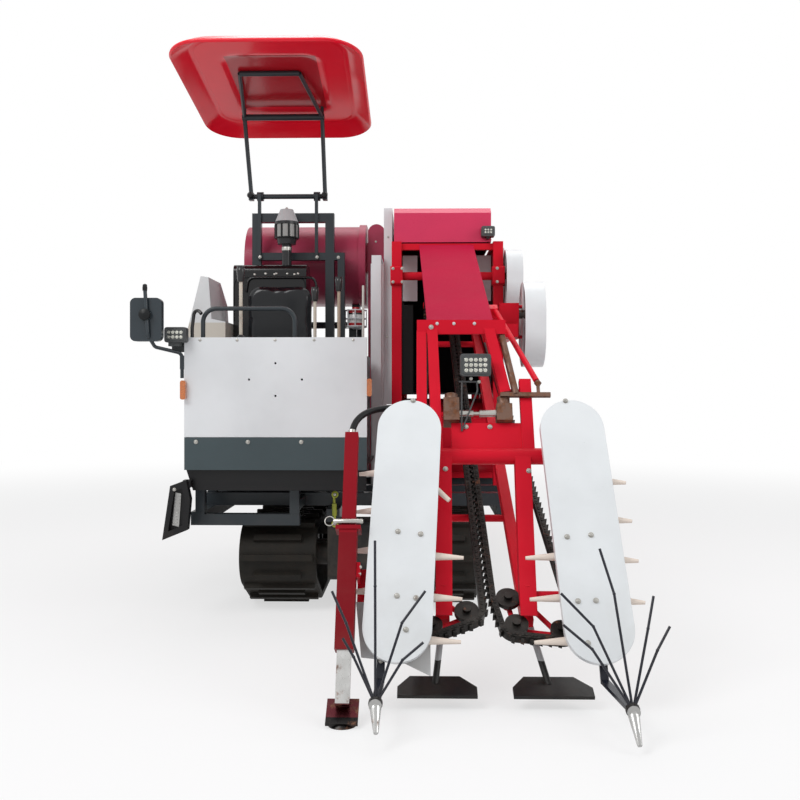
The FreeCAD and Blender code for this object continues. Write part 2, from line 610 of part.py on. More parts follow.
save("marker_lamps",
     rounded((PANEL_X[0] - 13, PANEL_X[0] + 11), (PANEL_Y - 24.3, PANEL_Y - 0.3), (986, 1070), 9, "y"),
     rounded((PANEL_X[1], PANEL_X[1] + 22), (PANEL_Y - 12, PANEL_Y + 18), (1000, 1078), 9, "y"))


# ---------------------------------------------------------------- canopy
def roof_outline(shrink, z):
    """The roof's rounded outline, drawn in by `shrink`, at one height."""
    width, length, _ = CANOPY_SIZE
    outline = rounded(around(0, width - 2 * shrink), around(0, length - 2 * shrink), (z, z + 10),
                      190 - shrink / 2.0, "z")
    face = [f for f in outline.Faces if f.BoundBox.ZMax < z + 1]
    return face[0].OuterWire


def canopy_roof():
    """A shallow moulded dish with flared sides, open below and tilted up at the front."""
    height = CANOPY_SIZE[2]
    outer = Part.makeLoft([roof_outline(0, 0), roof_outline(CANOPY_FLARE, height)], True, True)
    room = Part.makeLoft([roof_outline(CANOPY_WALL - 14, -10),
                          roof_outline(CANOPY_FLARE + 4, height - CANOPY_WALL)],
                         True, True)
    roof = outer.cut(room)
    roof.rotate(Vector(0, 0, 0), Vector(1, 0, 0), -CANOPY_TILT)
    roof.translate(Vector(*CANOPY_CENTRE))
    return roof


def under_roof(x, y, drop):
    """A point under the roof's crown, at machine x and y, `drop` below its inner face."""
    tilt = math.radians(CANOPY_TILT)
    ceiling = CANOPY_SIZE[2] - CANOPY_WALL - drop
    ahead = y - CANOPY_CENTRE[1]
    return (x, y, CANOPY_CENTRE[2] + ceiling / math.cos(tilt) - ahead * math.tan(tilt))


def canopy_frame():
    """The pivot tube with its clamps, two posts, a heavy rear bar, two arms and a front bar under the roof."""
    left_foot, right_foot = (-716.0, -293.0)
    rear_y, rear_drop = REAR_BAR
    parts = [rod((left_foot - 8, ROLL_Y, CANOPY_PIVOT_Z), (right_foot + 8, ROLL_Y, CANOPY_PIVOT_Z),
                 CANOPY_TUBE)]
    rear = [under_roof(x, rear_y, rear_drop) for x in (-745.0, -304.0)]
    front = [under_roof(x, FRONT_BAR_Y, CANOPY_TUBE + 0.3) for x in (-693.0, -380.0)]
    parts.append(rod((rear[0][0] - 12, rear_y, rear[0][2]), (rear[1][0] + 12, rear_y, rear[0][2]),
                     CANOPY_TUBE + 4))
    parts.append(rod(front[0], front[1], CANOPY_TUBE))
    for foot_x, back, ahead in zip((left_foot, right_foot), rear, front):
        parts.append(rod((foot_x, ROLL_Y, CANOPY_PIVOT_Z), back, CANOPY_TUBE - 2))
        parts.append(rod(back, ahead, CANOPY_TUBE - 3))
        parts.append(rod(back, under_roof(back[0], rear_y, 2.0), CANOPY_TUBE - 4))
        parts.append(block(around(foot_x, 26), around(ROLL_Y, 44), around(CANOPY_PIVOT_Z, 44)))
    return joined(*parts)


save("canopy_roof", canopy_roof())
save("canopy_frame", canopy_frame())


# ---------------------------------------------------------------- hopper, its stand and the elevator
def hopper_outline(shrink):
    """The trough's section in (y, z): a half-round front and belly, a sloped and an upright back."""
    y, z = HOPPER_AXIS
    r = HOPPER_RADIUS - shrink
    rear = HOPPER_REAR - shrink
    top = Vector(0, y, z + r)
    front = Vector(0, y - r, z)
    bottom = Vector(0, y, z - r)
    knee_low = Vector(0, y + 190, z - r)
    knee_high = Vector(0, rear, z - 60)
    corner = Vector(0, rear, z + r)
    edges = [Part.Arc(top, front, bottom).toShape()]
    for a, b in zip((bottom, knee_low, knee_high, corner), (knee_low, knee_high, corner, top)):
        edges.append(Part.LineSegment(a, b).toShape())
    return Part.Face(Part.Wire(edges))


def hopper():
    """The trough with end walls, an open top behind the crown, a rim, its pivot ears and an eye."""
    y, z = HOPPER_AXIS
    length = HOPPER_X[1] - HOPPER_X[0]
    body = hopper_outline(0).extrude(Vector(length, 0, 0))
    body.translate(Vector(HOPPER_X[0], 0, 0))
    rim = hopper_outline(-12).extrude(Vector(40, 0, 0))
    rim.translate(Vector(HOPPER_X[1] - 40, 0, 0))
    room = hopper_outline(HOPPER_WALL).extrude(Vector(length - 2 * HOPPER_WALL, 0, 0))
    room.translate(Vector(HOPPER_X[0] + HOPPER_WALL, 0, 0))
    mouth = block((HOPPER_X[0] + 30, HOPPER_X[1] - 50), (y + 10, HOPPER_REAR - 20),
                  (z + HOPPER_RADIUS - 68, z + HOPPER_RADIUS + 80))
    inlet = block((HOPPER_X[1] - 50, HOPPER_X[1] + 5), (580, 740), (1720, 1900))
    ears = []
    for ear_y in (560.0, 930.0):
        ears.append(block(around(HOPPER_PIVOT[0], 44), around(ear_y, 30),
                          (HOPPER_PIVOT[1] - 22, z - HOPPER_RADIUS + 120)))
    play = EYE_WIDTH / 2 + EYE_GAP
    eye_ears = []
    for side in (-1, 1):
        near = TIP_EYE[1] + side * play
        eye_ears.append(block(around(TIP_EYE[0], 50), sorted((near, near + side * 12)),
                              (TIP_EYE[2] - 22, z - HOPPER_RADIUS + 4)))
        eye_ears.append(rod((TIP_EYE[0], near, TIP_EYE[2]), (TIP_EYE[0], near + side * 22, TIP_EYE[2]),
                            RAM_PIN))
    whole = joined(body, rim, *ears, *eye_ears).cut(room).cut(mouth).cut(inlet)
    for ear_y in (560.0, 930.0):
        whole = whole.cut(rod((HOPPER_PIVOT[0], ear_y - 30, HOPPER_PIVOT[1]),
                              (HOPPER_PIVOT[0], ear_y + 30, HOPPER_PIVOT[1]), HOPPER_PIN + BORE_GAP))
    return whole


def hopper_stand():
    """Four posts, the pivot pins on the outer side, a rest rail on the inner side and the ram's base."""
    parts = []
    inner_x = -142.0
    for x in (HOPPER_PIVOT[0], inner_x):
        for y in (500.0, 1000.0):
            parts.append(block(around(x, 44), around(y, 44), (DECK_Z, STAND_TOP)))
        parts.append(block(around(x, 44), (478, 1022), (STAND_TOP - 40, STAND_TOP)))
        parts.append(block(around(x, 44), (440, 1100), (DECK_Z, DECK_Z + RAIL)))
    parts.append(block((HOPPER_PIVOT[0], inner_x), (980, 1020), (STAND_TOP - 40, STAND_TOP)))
    for y in (520.0, 890.0):
        parts.append(block(around(HOPPER_PIVOT[0], 36), around(y, 20), (STAND_TOP - 10, HOPPER_PIVOT[1])))
        parts.append(rod((HOPPER_PIVOT[0], y - 10, HOPPER_PIVOT[1]),
                         (HOPPER_PIVOT[0], y + 10, HOPPER_PIVOT[1]), 21))
        parts.append(rod((HOPPER_PIVOT[0], y, HOPPER_PIVOT[1]),
                         (HOPPER_PIVOT[0], y + 60, HOPPER_PIVOT[1]), HOPPER_PIN))
    parts.append(block(around(inner_x, 44), (730, 880),
                       (STAND_TOP - 10, HOPPER_AXIS[1] - HOPPER_RADIUS - 0.3)))
    parts.append(block((HOPPER_PIVOT[0], inner_x), around(TIP_BASE[1], 120), (DECK_Z, DECK_Z + RAIL)))
    for side in (-1, 1):
        y = sorted((TIP_BASE[1] + side * 24, TIP_BASE[1] + side * 36))
        parts.append(block(around(TIP_BASE[0], 50), y, (DECK_Z + RAIL - 5, TIP_BASE[2] + 24)))
    parts.append(rod((TIP_BASE[0], TIP_BASE[1] - 40, TIP_BASE[2]),
                     (TIP_BASE[0], TIP_BASE[1] + 40, TIP_BASE[2]), RAM_PIN))
    member = block((INNER_RAIL_X[0] - RAIL, 0), (ELEVATOR_MEMBER_Y, ELEVATOR_MEMBER_Y + RAIL),
                   (DECK_Z, DECK_Z + RAIL))
    return joined(*parts).cut(member)


save("hopper", hopper())
save("hopper_stand", hopper_stand())

elevator_top = HOPPER_AXIS[1] + HOPPER_RADIUS - 50
elevator = [block((-58, 42), (580, 740), (DECK_Z + RAIL + 0.3, elevator_top)),
            rod((-8, 580, elevator_top), (-8, 740, elevator_top), 50),
            block((-64.7, -50), (586, 734), (1726, 1894))]
save("pod_elevator", joined(*elevator))


def ram(base, eye, eye_axis, share, closing):
    """Barrel and rod of a cylinder between two pins, the barrel `share` of its length at rest.

    The rod goes in by `closing`. Its eye holds its own pin, whose ends stay with the ears.
    """
    start = Vector(*base)
    run = Vector(*eye) - start
    unit = Vector(run).normalize()
    side = Vector(*eye_axis)
    barrel_end = start + unit * (run.Length * share)
    barrel = Part.makeCylinder(RAM_RADIUS, (barrel_end - start).Length - 50, start + unit * 50, unit)
    base_eye = Part.makeCylinder(RAM_PIN + 14, 36, start - side * 18, side)
    neck = Part.makeCylinder(20, 54, start + unit * 8, unit)
    barrel = joined(barrel, base_eye, neck)
    barrel = barrel.cut(Part.makeCylinder(RAM_PIN + BORE_GAP, 60, start - side * 30, side))
    tail = start + unit * 70
    hollow = Part.makeCylinder(RAM_ROD + 0.5, (barrel_end - tail).Length + 10, tail, unit)
    barrel = barrel.cut(hollow)
    rod_start = tail + unit * (closing + 6)
    end = Vector(*eye)
    stem = Part.makeCylinder(RAM_ROD, (end - rod_start).Length - 8, rod_start, unit)
    rod_eye = Part.makeCylinder(RAM_PIN + 13, EYE_WIDTH, end - side * (EYE_WIDTH / 2), side)
    return barrel, joined(stem, rod_eye)


LIFT_EYE = clamp(LIFT_BASE[0], LIFT_EYE_T, -104)
for name, base, eye, axis, closing in (("lift", LIFT_BASE, LIFT_EYE, (1, 0, 0), LIFT_CLOSING),
                                       ("tipping", TIP_BASE, TIP_EYE, (0, 1, 0), 0.0)):
    barrel, piston = ram(base, eye, axis, 0.78, closing)
    save(name + "_barrel", barrel)
    save(name + "_rod", piston)


# ---------------------------------------------------------------- picking unit
def picking_frame():
    """Posts, top rails, the hinge shaft's housing with its bearings and the arm of the front guard."""
    x0, x1 = PICK_X
    parts = []
    for x in (x0, x1 - 50):
        for y in (PICK_FRONT_Y - 25, 860.0, PICK_REAR_Y - 50):
            parts.append(block((x, x + 50), (y, y + 50), (DECK_Z + RAIL, PICK_TOP)))
        parts.append(block((x, x + 50), (PICK_FRONT_Y - 25, PICK_REAR_Y), (PICK_TOP - 50, PICK_TOP)))
        parts.append(rounded((x - 6, x + 56), around(PIVOT[0], BEARING), around(PIVOT[1], BEARING), 12,
                             "x"))
    parts.append(rod((x0, PIVOT[0], PIVOT[1]), (x1, PIVOT[0], PIVOT[1]), PIVOT_RADIUS))
    parts.append(block((x0, x1), (PICK_REAR_Y - 50, PICK_REAR_Y), (PICK_TOP - 50, PICK_TOP)))
    parts.append(block((x0, x1 - 50), (PICK_FRONT_Y - 5, PICK_FRONT_Y + 25), (PICK_TOP - 40, PICK_TOP - 8)))
    parts.append(block((x1 - 40, x1 + 20), (-760, PICK_FRONT_Y + 25), (1266, 1326)))
    plate_x = (x1 - 60, x1 + 30)
    parts.append(block(plate_x, (-700, -580), (1262, 1425)))
    for z in (FRONT_SHAFT_Z - 105, FRONT_SHAFT_Z + 35):
        parts.append(rod((plate_x[1], FRONT_GUARD[0], z), (FRONT_GUARD_X[0] - 0.3, FRONT_GUARD[0], z), 8))
    for z in (PIVOT[1] - 42, PIVOT[1] + 42):
        parts.append(rod((x1, REAR_GUARD[0], z), (REAR_GUARD_X[0] - 0.3, REAR_GUARD[0], z), 8))
    frame = joined(*parts)
    for y, z, x in ((FRONT_GUARD[0], FRONT_SHAFT_Z, x1), (REAR_GUARD[0], PIVOT[1], x1 - 40)):
        frame = frame.cut(rod((x, y, z), (x + 80, y, z), PULLEY_SHAFT + BORE_GAP))
    return frame


save("picking_frame", picking_frame())
save("picking_panels",
     block((62.3, PICK_X[0] - 0.3), (-110, PICK_REAR_Y), (950, PICK_TOP + HOOD_HEIGHT + 10)),
     block((PICK_X[1] + 0.3, PICK_X[1] + 20), (PICK_FRONT_Y + 147, PICK_REAR_Y), (950, 1770)),
     block((PICK_X[0] + 53, 236), (-66.3, -60.3), (1490, 1729)),
     block((540, PICK_X[1] - 50.3), (-66.3, -60.3), (1490, 1729)))
drive_foot = DECK_Z + RAIL + 0.3
save("drive_case", joined(block((1, 50), (-165, 330), (drive_foot, 1718)),
                          block((-4, 62), (-150, 330), (drive_foot, 1677))))


def picking_box():
    """The closed box round the picking rollers, open at the front where the plants come in."""
    x = (PICK_X[0] + 50.3, PICK_X[1] - 50.3)
    rear = PICK_REAR_Y - 52
    top = PICK_TOP - 50.3
    outer = slab([(-60, 1000), (rear, 1000), (rear, top), (-60, top)], x)
    room = block((x[0] + 8, x[1] - 8), (-80, PICK_REAR_Y - 80), (1008, PICK_TOP - 60))
    curtain = block((x[0], 214), (-66, -59), (1000, 1470))
    return joined(outer.cut(room), curtain)


save("picking_box", picking_box())

hood_outer = slab([(-190, PICK_TOP), (-190, PICK_TOP + 150), (-150, PICK_TOP + HOOD_HEIGHT),
                   (1200, PICK_TOP + HOOD_HEIGHT), (PICK_REAR_Y, PICK_TOP + 60), (PICK_REAR_Y, PICK_TOP)],
                  HOOD_X)
hood_room = slab([(-182, PICK_TOP - 5), (-182, PICK_TOP + 146), (-146, PICK_TOP + HOOD_HEIGHT - 8),
                  (1196, PICK_TOP + HOOD_HEIGHT - 8), (PICK_REAR_Y - 8,
                                                       PICK_TOP + 54), (PICK_REAR_Y - 8, PICK_TOP - 5)],
                 (HOOD_X[0] + 8, HOOD_X[1] - 8))
save("top_hood", hood_outer.cut(hood_room))


def guard(y, z_low, z_high, radius, x, shaft_z):
    """An obround belt guard, open on its inner side but for a strap that holds it."""
    def outline(shrink):
        circles = [(y, z_low + radius, radius - shrink), (y, z_high - radius, radius - shrink)]
        return circles

    outer = hull_face(outline(0), 0.0, lambda p, q: Vector(x[0], p, q)).extrude(Vector(x[1] - x[0], 0, 0))
    room = hull_face(outline(6), 0.0, lambda p,
                     q: Vector(x[0] - 5, p, q)).extrude(Vector(x[1] - x[0] - 1, 0, 0))
    strap = block((x[0], x[0] + 6), around(y, 40), (z_low + 3, z_high - 3))
    hole = rod((x[0] - 5, y, shaft_z), (x[0] + 10, y, shaft_z), PULLEY_SHAFT + 6)
    return joined(outer.cut(room), strap).cut(hole)


save("belt_guards", guard(*FRONT_GUARD, FRONT_GUARD_X, FRONT_SHAFT_Z),
     guard(*REAR_GUARD, REAR_GUARD_X, PIVOT[1]))
for name, y, z, radius, x in (("front", FRONT_GUARD[0], FRONT_SHAFT_Z, 110.0,
                               (PICK_X[1] + 12, FRONT_GUARD_X[1] - 8)),
                              ("rear", REAR_GUARD[0], PIVOT[1], 90.0,
                               (PICK_X[1] - 30, REAR_GUARD_X[1] - 8))):
    shaft = rod((x[0], y, z), (x[1], y, z), PULLEY_SHAFT)
    wheel = rod((x[1] - 60, y, z), (x[1] - 15, y, z), radius)
    save(name + "_pulley", joined(shaft, wheel))


def fan_housing():
    """A drum under the picking unit with an inlet in each side and a throat towards the sieve."""
    y, z, radius = FAN
    x = (PICK_X[0] + 10, PICK_X[1] - 10)
    drum = rod((x[0], y, z), (x[1], y, z), radius)
    drum = joined(drum, block(x, (y, y + 330), (z - radius, z - 20)),
                  block(x, (y - 60, y + 60), (DECK_Z + RAIL + 0.3, z - radius + 20)))
    room = rod((x[0] + FAN_WALL, y, z), (x[1] - FAN_WALL, y, z), radius - FAN_WALL)
    throat = block((x[0] + FAN_WALL, x[1] - FAN_WALL), (y, y + 340), (z - radius + FAN_WALL, z - 26))
    drum = drum.cut(room).cut(throat)
    for side_x in x:
        drum = drum.cut(rod((side_x - 20, y, z), (side_x + 20, y, z), 120))
        bar = block((side_x - (0 if side_x < 300 else FAN_WALL),
                     side_x + (FAN_WALL if side_x < 300 else 0)),
                    around(y, 34), (z - 150, z + 150))
        drum = joined(drum, bar, rod((side_x - 12, y, z), (side_x + 12, y, z), 34))
    return drum.cut(rod((x[0] - 30, y, z), (x[1] + 30, y, z), FAN_SHAFT + BORE_GAP))


def fan_rotor():
    """A shaft with two spiders and four flat blades."""
    y, z, radius = FAN
    x = (PICK_X[0] + 10, PICK_X[1] - 10)
    parts = [rod((x[0] - 20, y, z), (x[1] + 20, y, z), FAN_SHAFT)]
    for i in range(4):
        blade = block((x[0] + 30, x[1] - 30), (y - 3, y + 3), (z + FAN_SHAFT - 4, z + radius - 30))
        blade.rotate(Vector(0, y, z), Vector(1, 0, 0), 45 + 90 * i)
        parts.append(blade)
    return joined(*parts)


save("fan_housing", fan_housing())
save("fan_rotor", fan_rotor())

SIEVE_Y = (FAN[0] + 330.3, 2180.0)
sieve_x = (PICK_X[0] + 50.3, PICK_X[1] - 50.3)
sieve = block(sieve_x, SIEVE_Y, (565, 900))
sieve = sieve.cut(block((sieve_x[0] + 8, sieve_x[1] - 8), (SIEVE_Y[0] + 8, SIEVE_Y[1] + 5), (620, 905)))
save("sieve_box", joined(sieve, block((sieve_x[0] + 4, sieve_x[1] - 4), (SIEVE_Y[0] + 4,
                                                                         SIEVE_Y[1] - 20), (700, 712))))

chute = slab([(PICK_REAR_Y + 0.3, 1050), (PICK_REAR_Y + 0.3, 1775), (2050, 1760), (2270, 1560),
              (REAR_Y, 1180),
              (REAR_Y - 60, 1050)], (PICK_X[0] + 5, PICK_X[1] - 5))
chute_room = slab([(PICK_REAR_Y - 5, 1040), (PICK_REAR_Y - 5, 1767), (2046, 1752), (2262, 1556),
                   (REAR_Y - 8, 1182),
                   (REAR_Y - 66, 1040)], (PICK_X[0] + 13, PICK_X[1] - 13))
save("vine_chute", chute.cut(chute_room))


# ---------------------------------------------------------------- header: its welded frame
CROSS_S = 955.0
LEG_FOOT_S = 371.0
FRAME_TOP_S = 1490.0
POST_T = 130.0
RAIL_RISE = -40.0
ARM_RISE = -30.0
RAIL_FOOT_T = 45.0
CHAIN_LEFT = [(290.0, 3.0, 36.0), (407.0, 62.0, 42.0), (340.0, 2120.0, 38.0)]
CHAIN_RIGHT = [(715.0, -12.0, 36.0), (462.0, 2120.0, 38.0), (550.0, 120.0, 42.0), (570.0, 8.0, 40.0)]
RAIL_X = ((330.0, 262.0), (612.0, 508.0))
HINGE_X = (297.0, 503.0)   # middles of the two hinge sleeves
BEAM_TOP_X = (297.0, 516.0)
BEAM_FOOT_X = (314.0, 616.0)
LEG_X = (336.0, 620.0)
CROSS_TUBE_X = (198.0, 812.0)
CROSS_PLATE = (500.0, 270.0)        # middle and width of the plate on the cross tube
GEAR_X = (366.0, 561.0)
LINK_S = 1225.0            # link from the right-hand beam to its short post
BALL = (690.0, 1240.0, -98.0)       # x, s and depth of the stay's ball joint


def across(t, rise, radius):
    """A round tie between the two lower rails, t up the incline."""
    share = (t - 80) / 2190.0
    x = [low + (high - low) * share for low, high in RAIL_X]
    return rod(clamp(x[0], t, rise), clamp(x[1], t, rise), radius)


def header_uprights():
    """The two front beams, the legs and the short post, with the cross tube and its plate."""
    parts = []
    under_legs = [clamp(0, t, rise)[1:] for t, rise in ((-200, 19), (400, 19), (400, -150), (-200, -150))]
    for x_beam, x_foot, x_leg, x_rail, low in zip(BEAM_TOP_X, BEAM_FOOT_X, LEG_X, RAIL_X,
                                                  (CROSS_S, LINK_S - 16)):
        share = (low - CROSS_S) / (FRAME_TOP_S - CROSS_S)
        x_low = x_foot + (x_beam - x_foot) * share
        parts.append(beam(row(x_low, low, FRAME_DEPTH), row(x_beam, FRAME_TOP_S, FRAME_DEPTH), BEAM, BEAM))
        leg = beam(row(x_leg, CROSS_S, FRAME_DEPTH), row(x_rail[0], LEG_FOOT_S, FRAME_DEPTH), LEG, LEG)
        parts.append(leg.cut(slab(under_legs, (x_rail[0] - LEG, x_rail[0] + LEG))))
    parts.append(rod(row(568, LINK_S - 5, FRAME_DEPTH), row(644, LINK_S - 5, FRAME_DEPTH), 8))
    parts.append(beam(row(644, CROSS_S, FRAME_DEPTH), row(644, LINK_S + 40, FRAME_DEPTH), 44, 30))
    parts.append(beam((256, PIVOT[0] - 1160, 1252), row(256, CROSS_S, FRAME_DEPTH), 38, 38))
    parts.append(rod(row(CROSS_TUBE_X[0], CROSS_S, FRAME_DEPTH),
                     row(CROSS_TUBE_X[1], CROSS_S, FRAME_DEPTH), 30))
    middle, width = CROSS_PLATE
    parts.append(beam(row(middle, CROSS_S, FRAME_DEPTH), row(middle, CROSS_S + 130, FRAME_DEPTH), width,
                      14))
    return parts


def header_chords():
    """Hinge sleeves, upper and lower chords, their end pieces, ties and the crossbeam."""
    parts = []
    top_t = 2237.0
    for x_rail, x_top, x_beam in zip(RAIL_X, HINGE_X, BEAM_TOP_X):
        sleeve = around(x_top, SLEEVE_WIDTH)
        parts.append(rod((sleeve[0], PIVOT[0], PIVOT[1]), (sleeve[1], PIVOT[0], PIVOT[1]),
                         PIVOT_RADIUS + SLEEVE_WALL))
        parts.append(beam(cover(x_top, 12, 0), cover(x_top, 12, COVER_RISE), 40, 36))
        parts.append(beam(cover(x_top, -4, COVER_RISE - 25), cover(x_beam, 1200, COVER_RISE - 25),
                          BEAM, 50))
        parts.append(beam(clamp(x_top, top_t, 110), clamp(x_top, top_t, -60), 40, 70))
        parts.append(beam(clamp(x_rail[0], RAIL_FOOT_T, RAIL_RISE), clamp(x_top, top_t + 40, RAIL_RISE),
                          BEAM, 45))
        parts.append(rod(clamp(x_rail[0], POST_T, RAIL_RISE), clamp(x_rail[0], POST_T, 70), 16))
    parts.append(block((238, 580), (PIVOT[0] - 1180, PIVOT[0] - 1140), (1247, 1302)))
    for t in (560.0, 1200.0, 1760.0):
        parts.append(across(t, RAIL_RISE - 6, 14))
    parts.append(across(CHAIN_LEFT[2][1], RAIL_RISE - 6, 16))
    return parts


def header_arms():
    """Thin arms that carry the chain wheels at the mouth, each ending in a boss."""
    posts = [(x_rail[0], POST_T) for x_rail in RAIL_X]
    left_tip, left_bend = CHAIN_LEFT[0], CHAIN_LEFT[1]
    right_tip, right_inner, right_bend = CHAIN_RIGHT[0], CHAIN_RIGHT[2], CHAIN_RIGHT[3]
    parts = []
    for a, b in ((left_tip, left_bend), (left_tip, posts[0]), (left_bend, posts[0]),
                 (right_tip, right_bend),
                 (right_bend, right_inner), (right_inner, posts[1]), (right_tip, posts[1])):
        parts.append(rod(clamp(a[0], a[1], ARM_RISE), clamp(b[0], b[1], ARM_RISE), 9))
    for x, t, _ in (left_tip, left_bend, right_tip, right_inner, right_bend):
        parts.append(rod(clamp(x, t, ARM_RISE - 10), clamp(x, t, ARM_RISE + 12), 18))
    return parts


def header_brackets():
    """Ears for the lift rod, stubs to the row cases, the jack's bracket and the stay with its lug."""
    parts = []
    parts.append(beam(clamp(LIFT_BASE[0], LIFT_EYE_T - 25, -58),
                      clamp(LIFT_BASE[0], LIFT_EYE_T + 25, -58), 70, 16))
    for side in (-1, 1):
        near = LIFT_BASE[0] + side * (EYE_WIDTH / 2 + EYE_GAP)
        lug_x = near + side * 5
        parts.append(beam(clamp(lug_x, LIFT_EYE_T, -50), clamp(lug_x, LIFT_EYE_T, -122), 10, 50))
        parts.append(rod((near, LIFT_EYE[1], LIFT_EYE[2]), (near + side * 20, LIFT_EYE[1], LIFT_EYE[2]),
                         RAM_PIN))
        parts.append(block(sorted((near, near + side * 10)), around(LIFT_EYE[1], 50),
                           around(LIFT_EYE[2] + 30, 20)))
    for x in (ROW_TOP_X[0] - 8, ROW_TOP_X[1] + 8):
        parts.append(beam(row(x, CROSS_S, FRAME_DEPTH), row(x, CROSS_S, GUIDE_BACK - 0.3), 40, 40))
    stub_s = LEG_FOOT_S + 76
    for x_rail, x_case, x_end in ((RAIL_X[0][0], 190.0, 60.0), (RAIL_X[1][0], 812.0, 812.0)):
        parts.append(rod(row(x_rail, stub_s, FRAME_DEPTH), row(x_end, stub_s, FRAME_DEPTH), 14))
        parts.append(rod(row(x_case, stub_s, FRAME_DEPTH), row(x_case, stub_s, GUIDE_BACK - 0.3), 11))
    side_x = JACK_X + JACK_ROD / 2 + JACK_WALL + 0.3
    parts.append(beam(row(side_x + 38, 392, -86), row(side_x + 38, 520, -86), 76, 12))
    parts.append(beam(row(side_x + 38, stub_s - 20, -104), row(side_x + 38, stub_s + 20, -104), 40, 40))
    parts.append(beam(row(side_x + 6, 470, -42), row(side_x + 6, 520, -42), 12, 96))
    parts.append(beam(cover(551, 880, COVER_RISE - 25), cover(551, 930, COVER_RISE - 25), 44, 44))
    stay = Vector(*row(*BALL)) - Vector(*cover(558, 905, COVER_RISE - 10))
    stay_end = Vector(*row(*BALL)) - stay.normalize() * 14.3
    parts.append(rod(cover(558, 905, COVER_RISE - 10), tuple(stay_end), 11))
    return parts


GUIDE_BACK = -66.0         # depth of the row guides' back behind the covers' front
header = joined(*header_chords(), *header_uprights(), *header_arms(), *header_brackets())
header = header.cut(rod((150, PIVOT[0], PIVOT[1]), (640, PIVOT[0], PIVOT[1]), PIVOT_RADIUS + BORE_GAP))
save("header_frame", header)
top_x = (246.0, 518.0)
end_x = (278.0, 538.0)
lid = [cover(top_x[0], -10, COVER_RISE + 0.3), cover(top_x[1], -10, COVER_RISE + 0.3),
       cover(end_x[1], 1125, COVER_RISE + 0.3), cover(end_x[0], 1125, COVER_RISE + 0.3)]
lid_wire = Part.makePolygon([Vector(*p) for p in lid + lid[:1]])
save("conveyor_cover", Part.Face(lid_wire).extrude(Vector(*cover(0, 0, 15)) - Vector(*cover(0, 0, 0))))

gear_foot = CROSS_S + 130.3
bar_depth = BALL[2]
bar_s = 1191.0
left_gear = joined(beam(row(GEAR_X[0], gear_foot, FRAME_DEPTH),
                        row(GEAR_X[0], gear_foot + 92, FRAME_DEPTH), 58, 70),
                   rod(row(GEAR_X[0], gear_foot + 80, FRAME_DEPTH),
                       row(GEAR_X[0], gear_foot + 118, FRAME_DEPTH), 24))
right_gear = joined(beam(row(GEAR_X[1], gear_foot, FRAME_DEPTH),
                         row(GEAR_X[1], gear_foot + 68, FRAME_DEPTH), 58, 70),
                    rod(row(GEAR_X[1], gear_foot + 60, FRAME_DEPTH), row(GEAR_X[1], bar_s, FRAME_DEPTH),
                        24),
                    beam(row(GEAR_X[1] + 80, bar_s - 8, bar_depth),
                         row(GEAR_X[1] + 80, bar_s + 8, bar_depth), 186, 16),
                    rod(row(BALL[0], bar_s, bar_depth), row(BALL[0], BALL[1], bar_depth), 6.5),
                    cone(row(BALL[0], BALL[1] - 11, BALL[2]), row(*BALL), 7, 14),
                    cone(row(*BALL), row(BALL[0], BALL[1] + 11, BALL[2]), 14, 7))
shaft_foot = row(606, bar_s + 2, bar_depth)
drive_shaft = rod((565, PIVOT[0] - 1157, 1250), shaft_foot, 13)
drive_shaft = drive_shaft.cut(block((520, 600), (-1400, -1300), (1246.6, 1300)))
save("header_gearboxes", left_gear, joined(right_gear, drive_shaft))
turn_s = gear_foot + 38
turn_out = FRAME_DEPTH + 8
turn_x = (GEAR_X[0] + 29.3, GEAR_X[1] - 29.3)
turnbuckle = joined(rod(row(turn_x[0], turn_s, turn_out), row(turn_x[1], turn_s, turn_out), 7),
                    rod(row(turn_x[0], turn_s, turn_out), row(turn_x[0] + 52, turn_s, turn_out), 12),
                    rod(row(turn_x[1] - 62, turn_s, turn_out), row(turn_x[1], turn_s, turn_out), 13))
save("adjusting_rod", turnbuckle)

# ---------------------------------------------------------------- header: clamp chains

def ordered(circles):
    """The circles anticlockwise about their middle."""
    p = sum(c[0] for c in circles) / len(circles)
    q = sum(c[1] for c in circles) / len(circles)
    return sorted(circles, key=lambda c: math.atan2(c[1] - q, c[0] - p))


def on_clamp(rise):
    """A function that puts (x, t) on the clamp plane, `rise` above it."""
    return lambda x, t: Vector(*clamp(x, t, rise))


def chain(circles):
    """A chain loop as a flat band standing across the clamp plane."""
    circles = ordered(circles)
    band = hull_face(circles, CHAIN_BAND, on_clamp(-CHAIN / 2)).cut(hull_face(circles, 0.0,
                                                                              on_clamp(-CHAIN / 2)))
    up = Vector(*clamp(0, 0, CHAIN)) - Vector(*clamp(0, 0, 0))
    return band.Faces[0].extrude(up)


save("clamp_chains", chain(CHAIN_LEFT), chain(CHAIN_RIGHT))
discs = []
for x, t, radius in CHAIN_LEFT + CHAIN_RIGHT:
    disc = rod(clamp(x, t, -8), clamp(x, t, 8), radius - WHEEL_GAP)
    shaft_low = ARM_RISE + 12.3 if t < 1000 else RAIL_RISE + 10.3
    discs.append(joined(disc, rod(clamp(x, t, shaft_low), clamp(x, t, 20), 14)))
save("chain_wheels", *discs)

# ---------------------------------------------------------------- header: row cases
def splayed(shape, side):
    """Turn a shape drawn upright on the row plane to the splay of one row's case."""
    top = ROW_FOOT_S + ROW_COVER[1]
    x_top = ROW_TOP_X[0] if side < 0 else ROW_TOP_X[1]
    shape.rotate(Vector(*row(x_top, top)), Vector(0, -ROW_SIN, ROW_COS), side * ROW_SPLAY)
    return shape


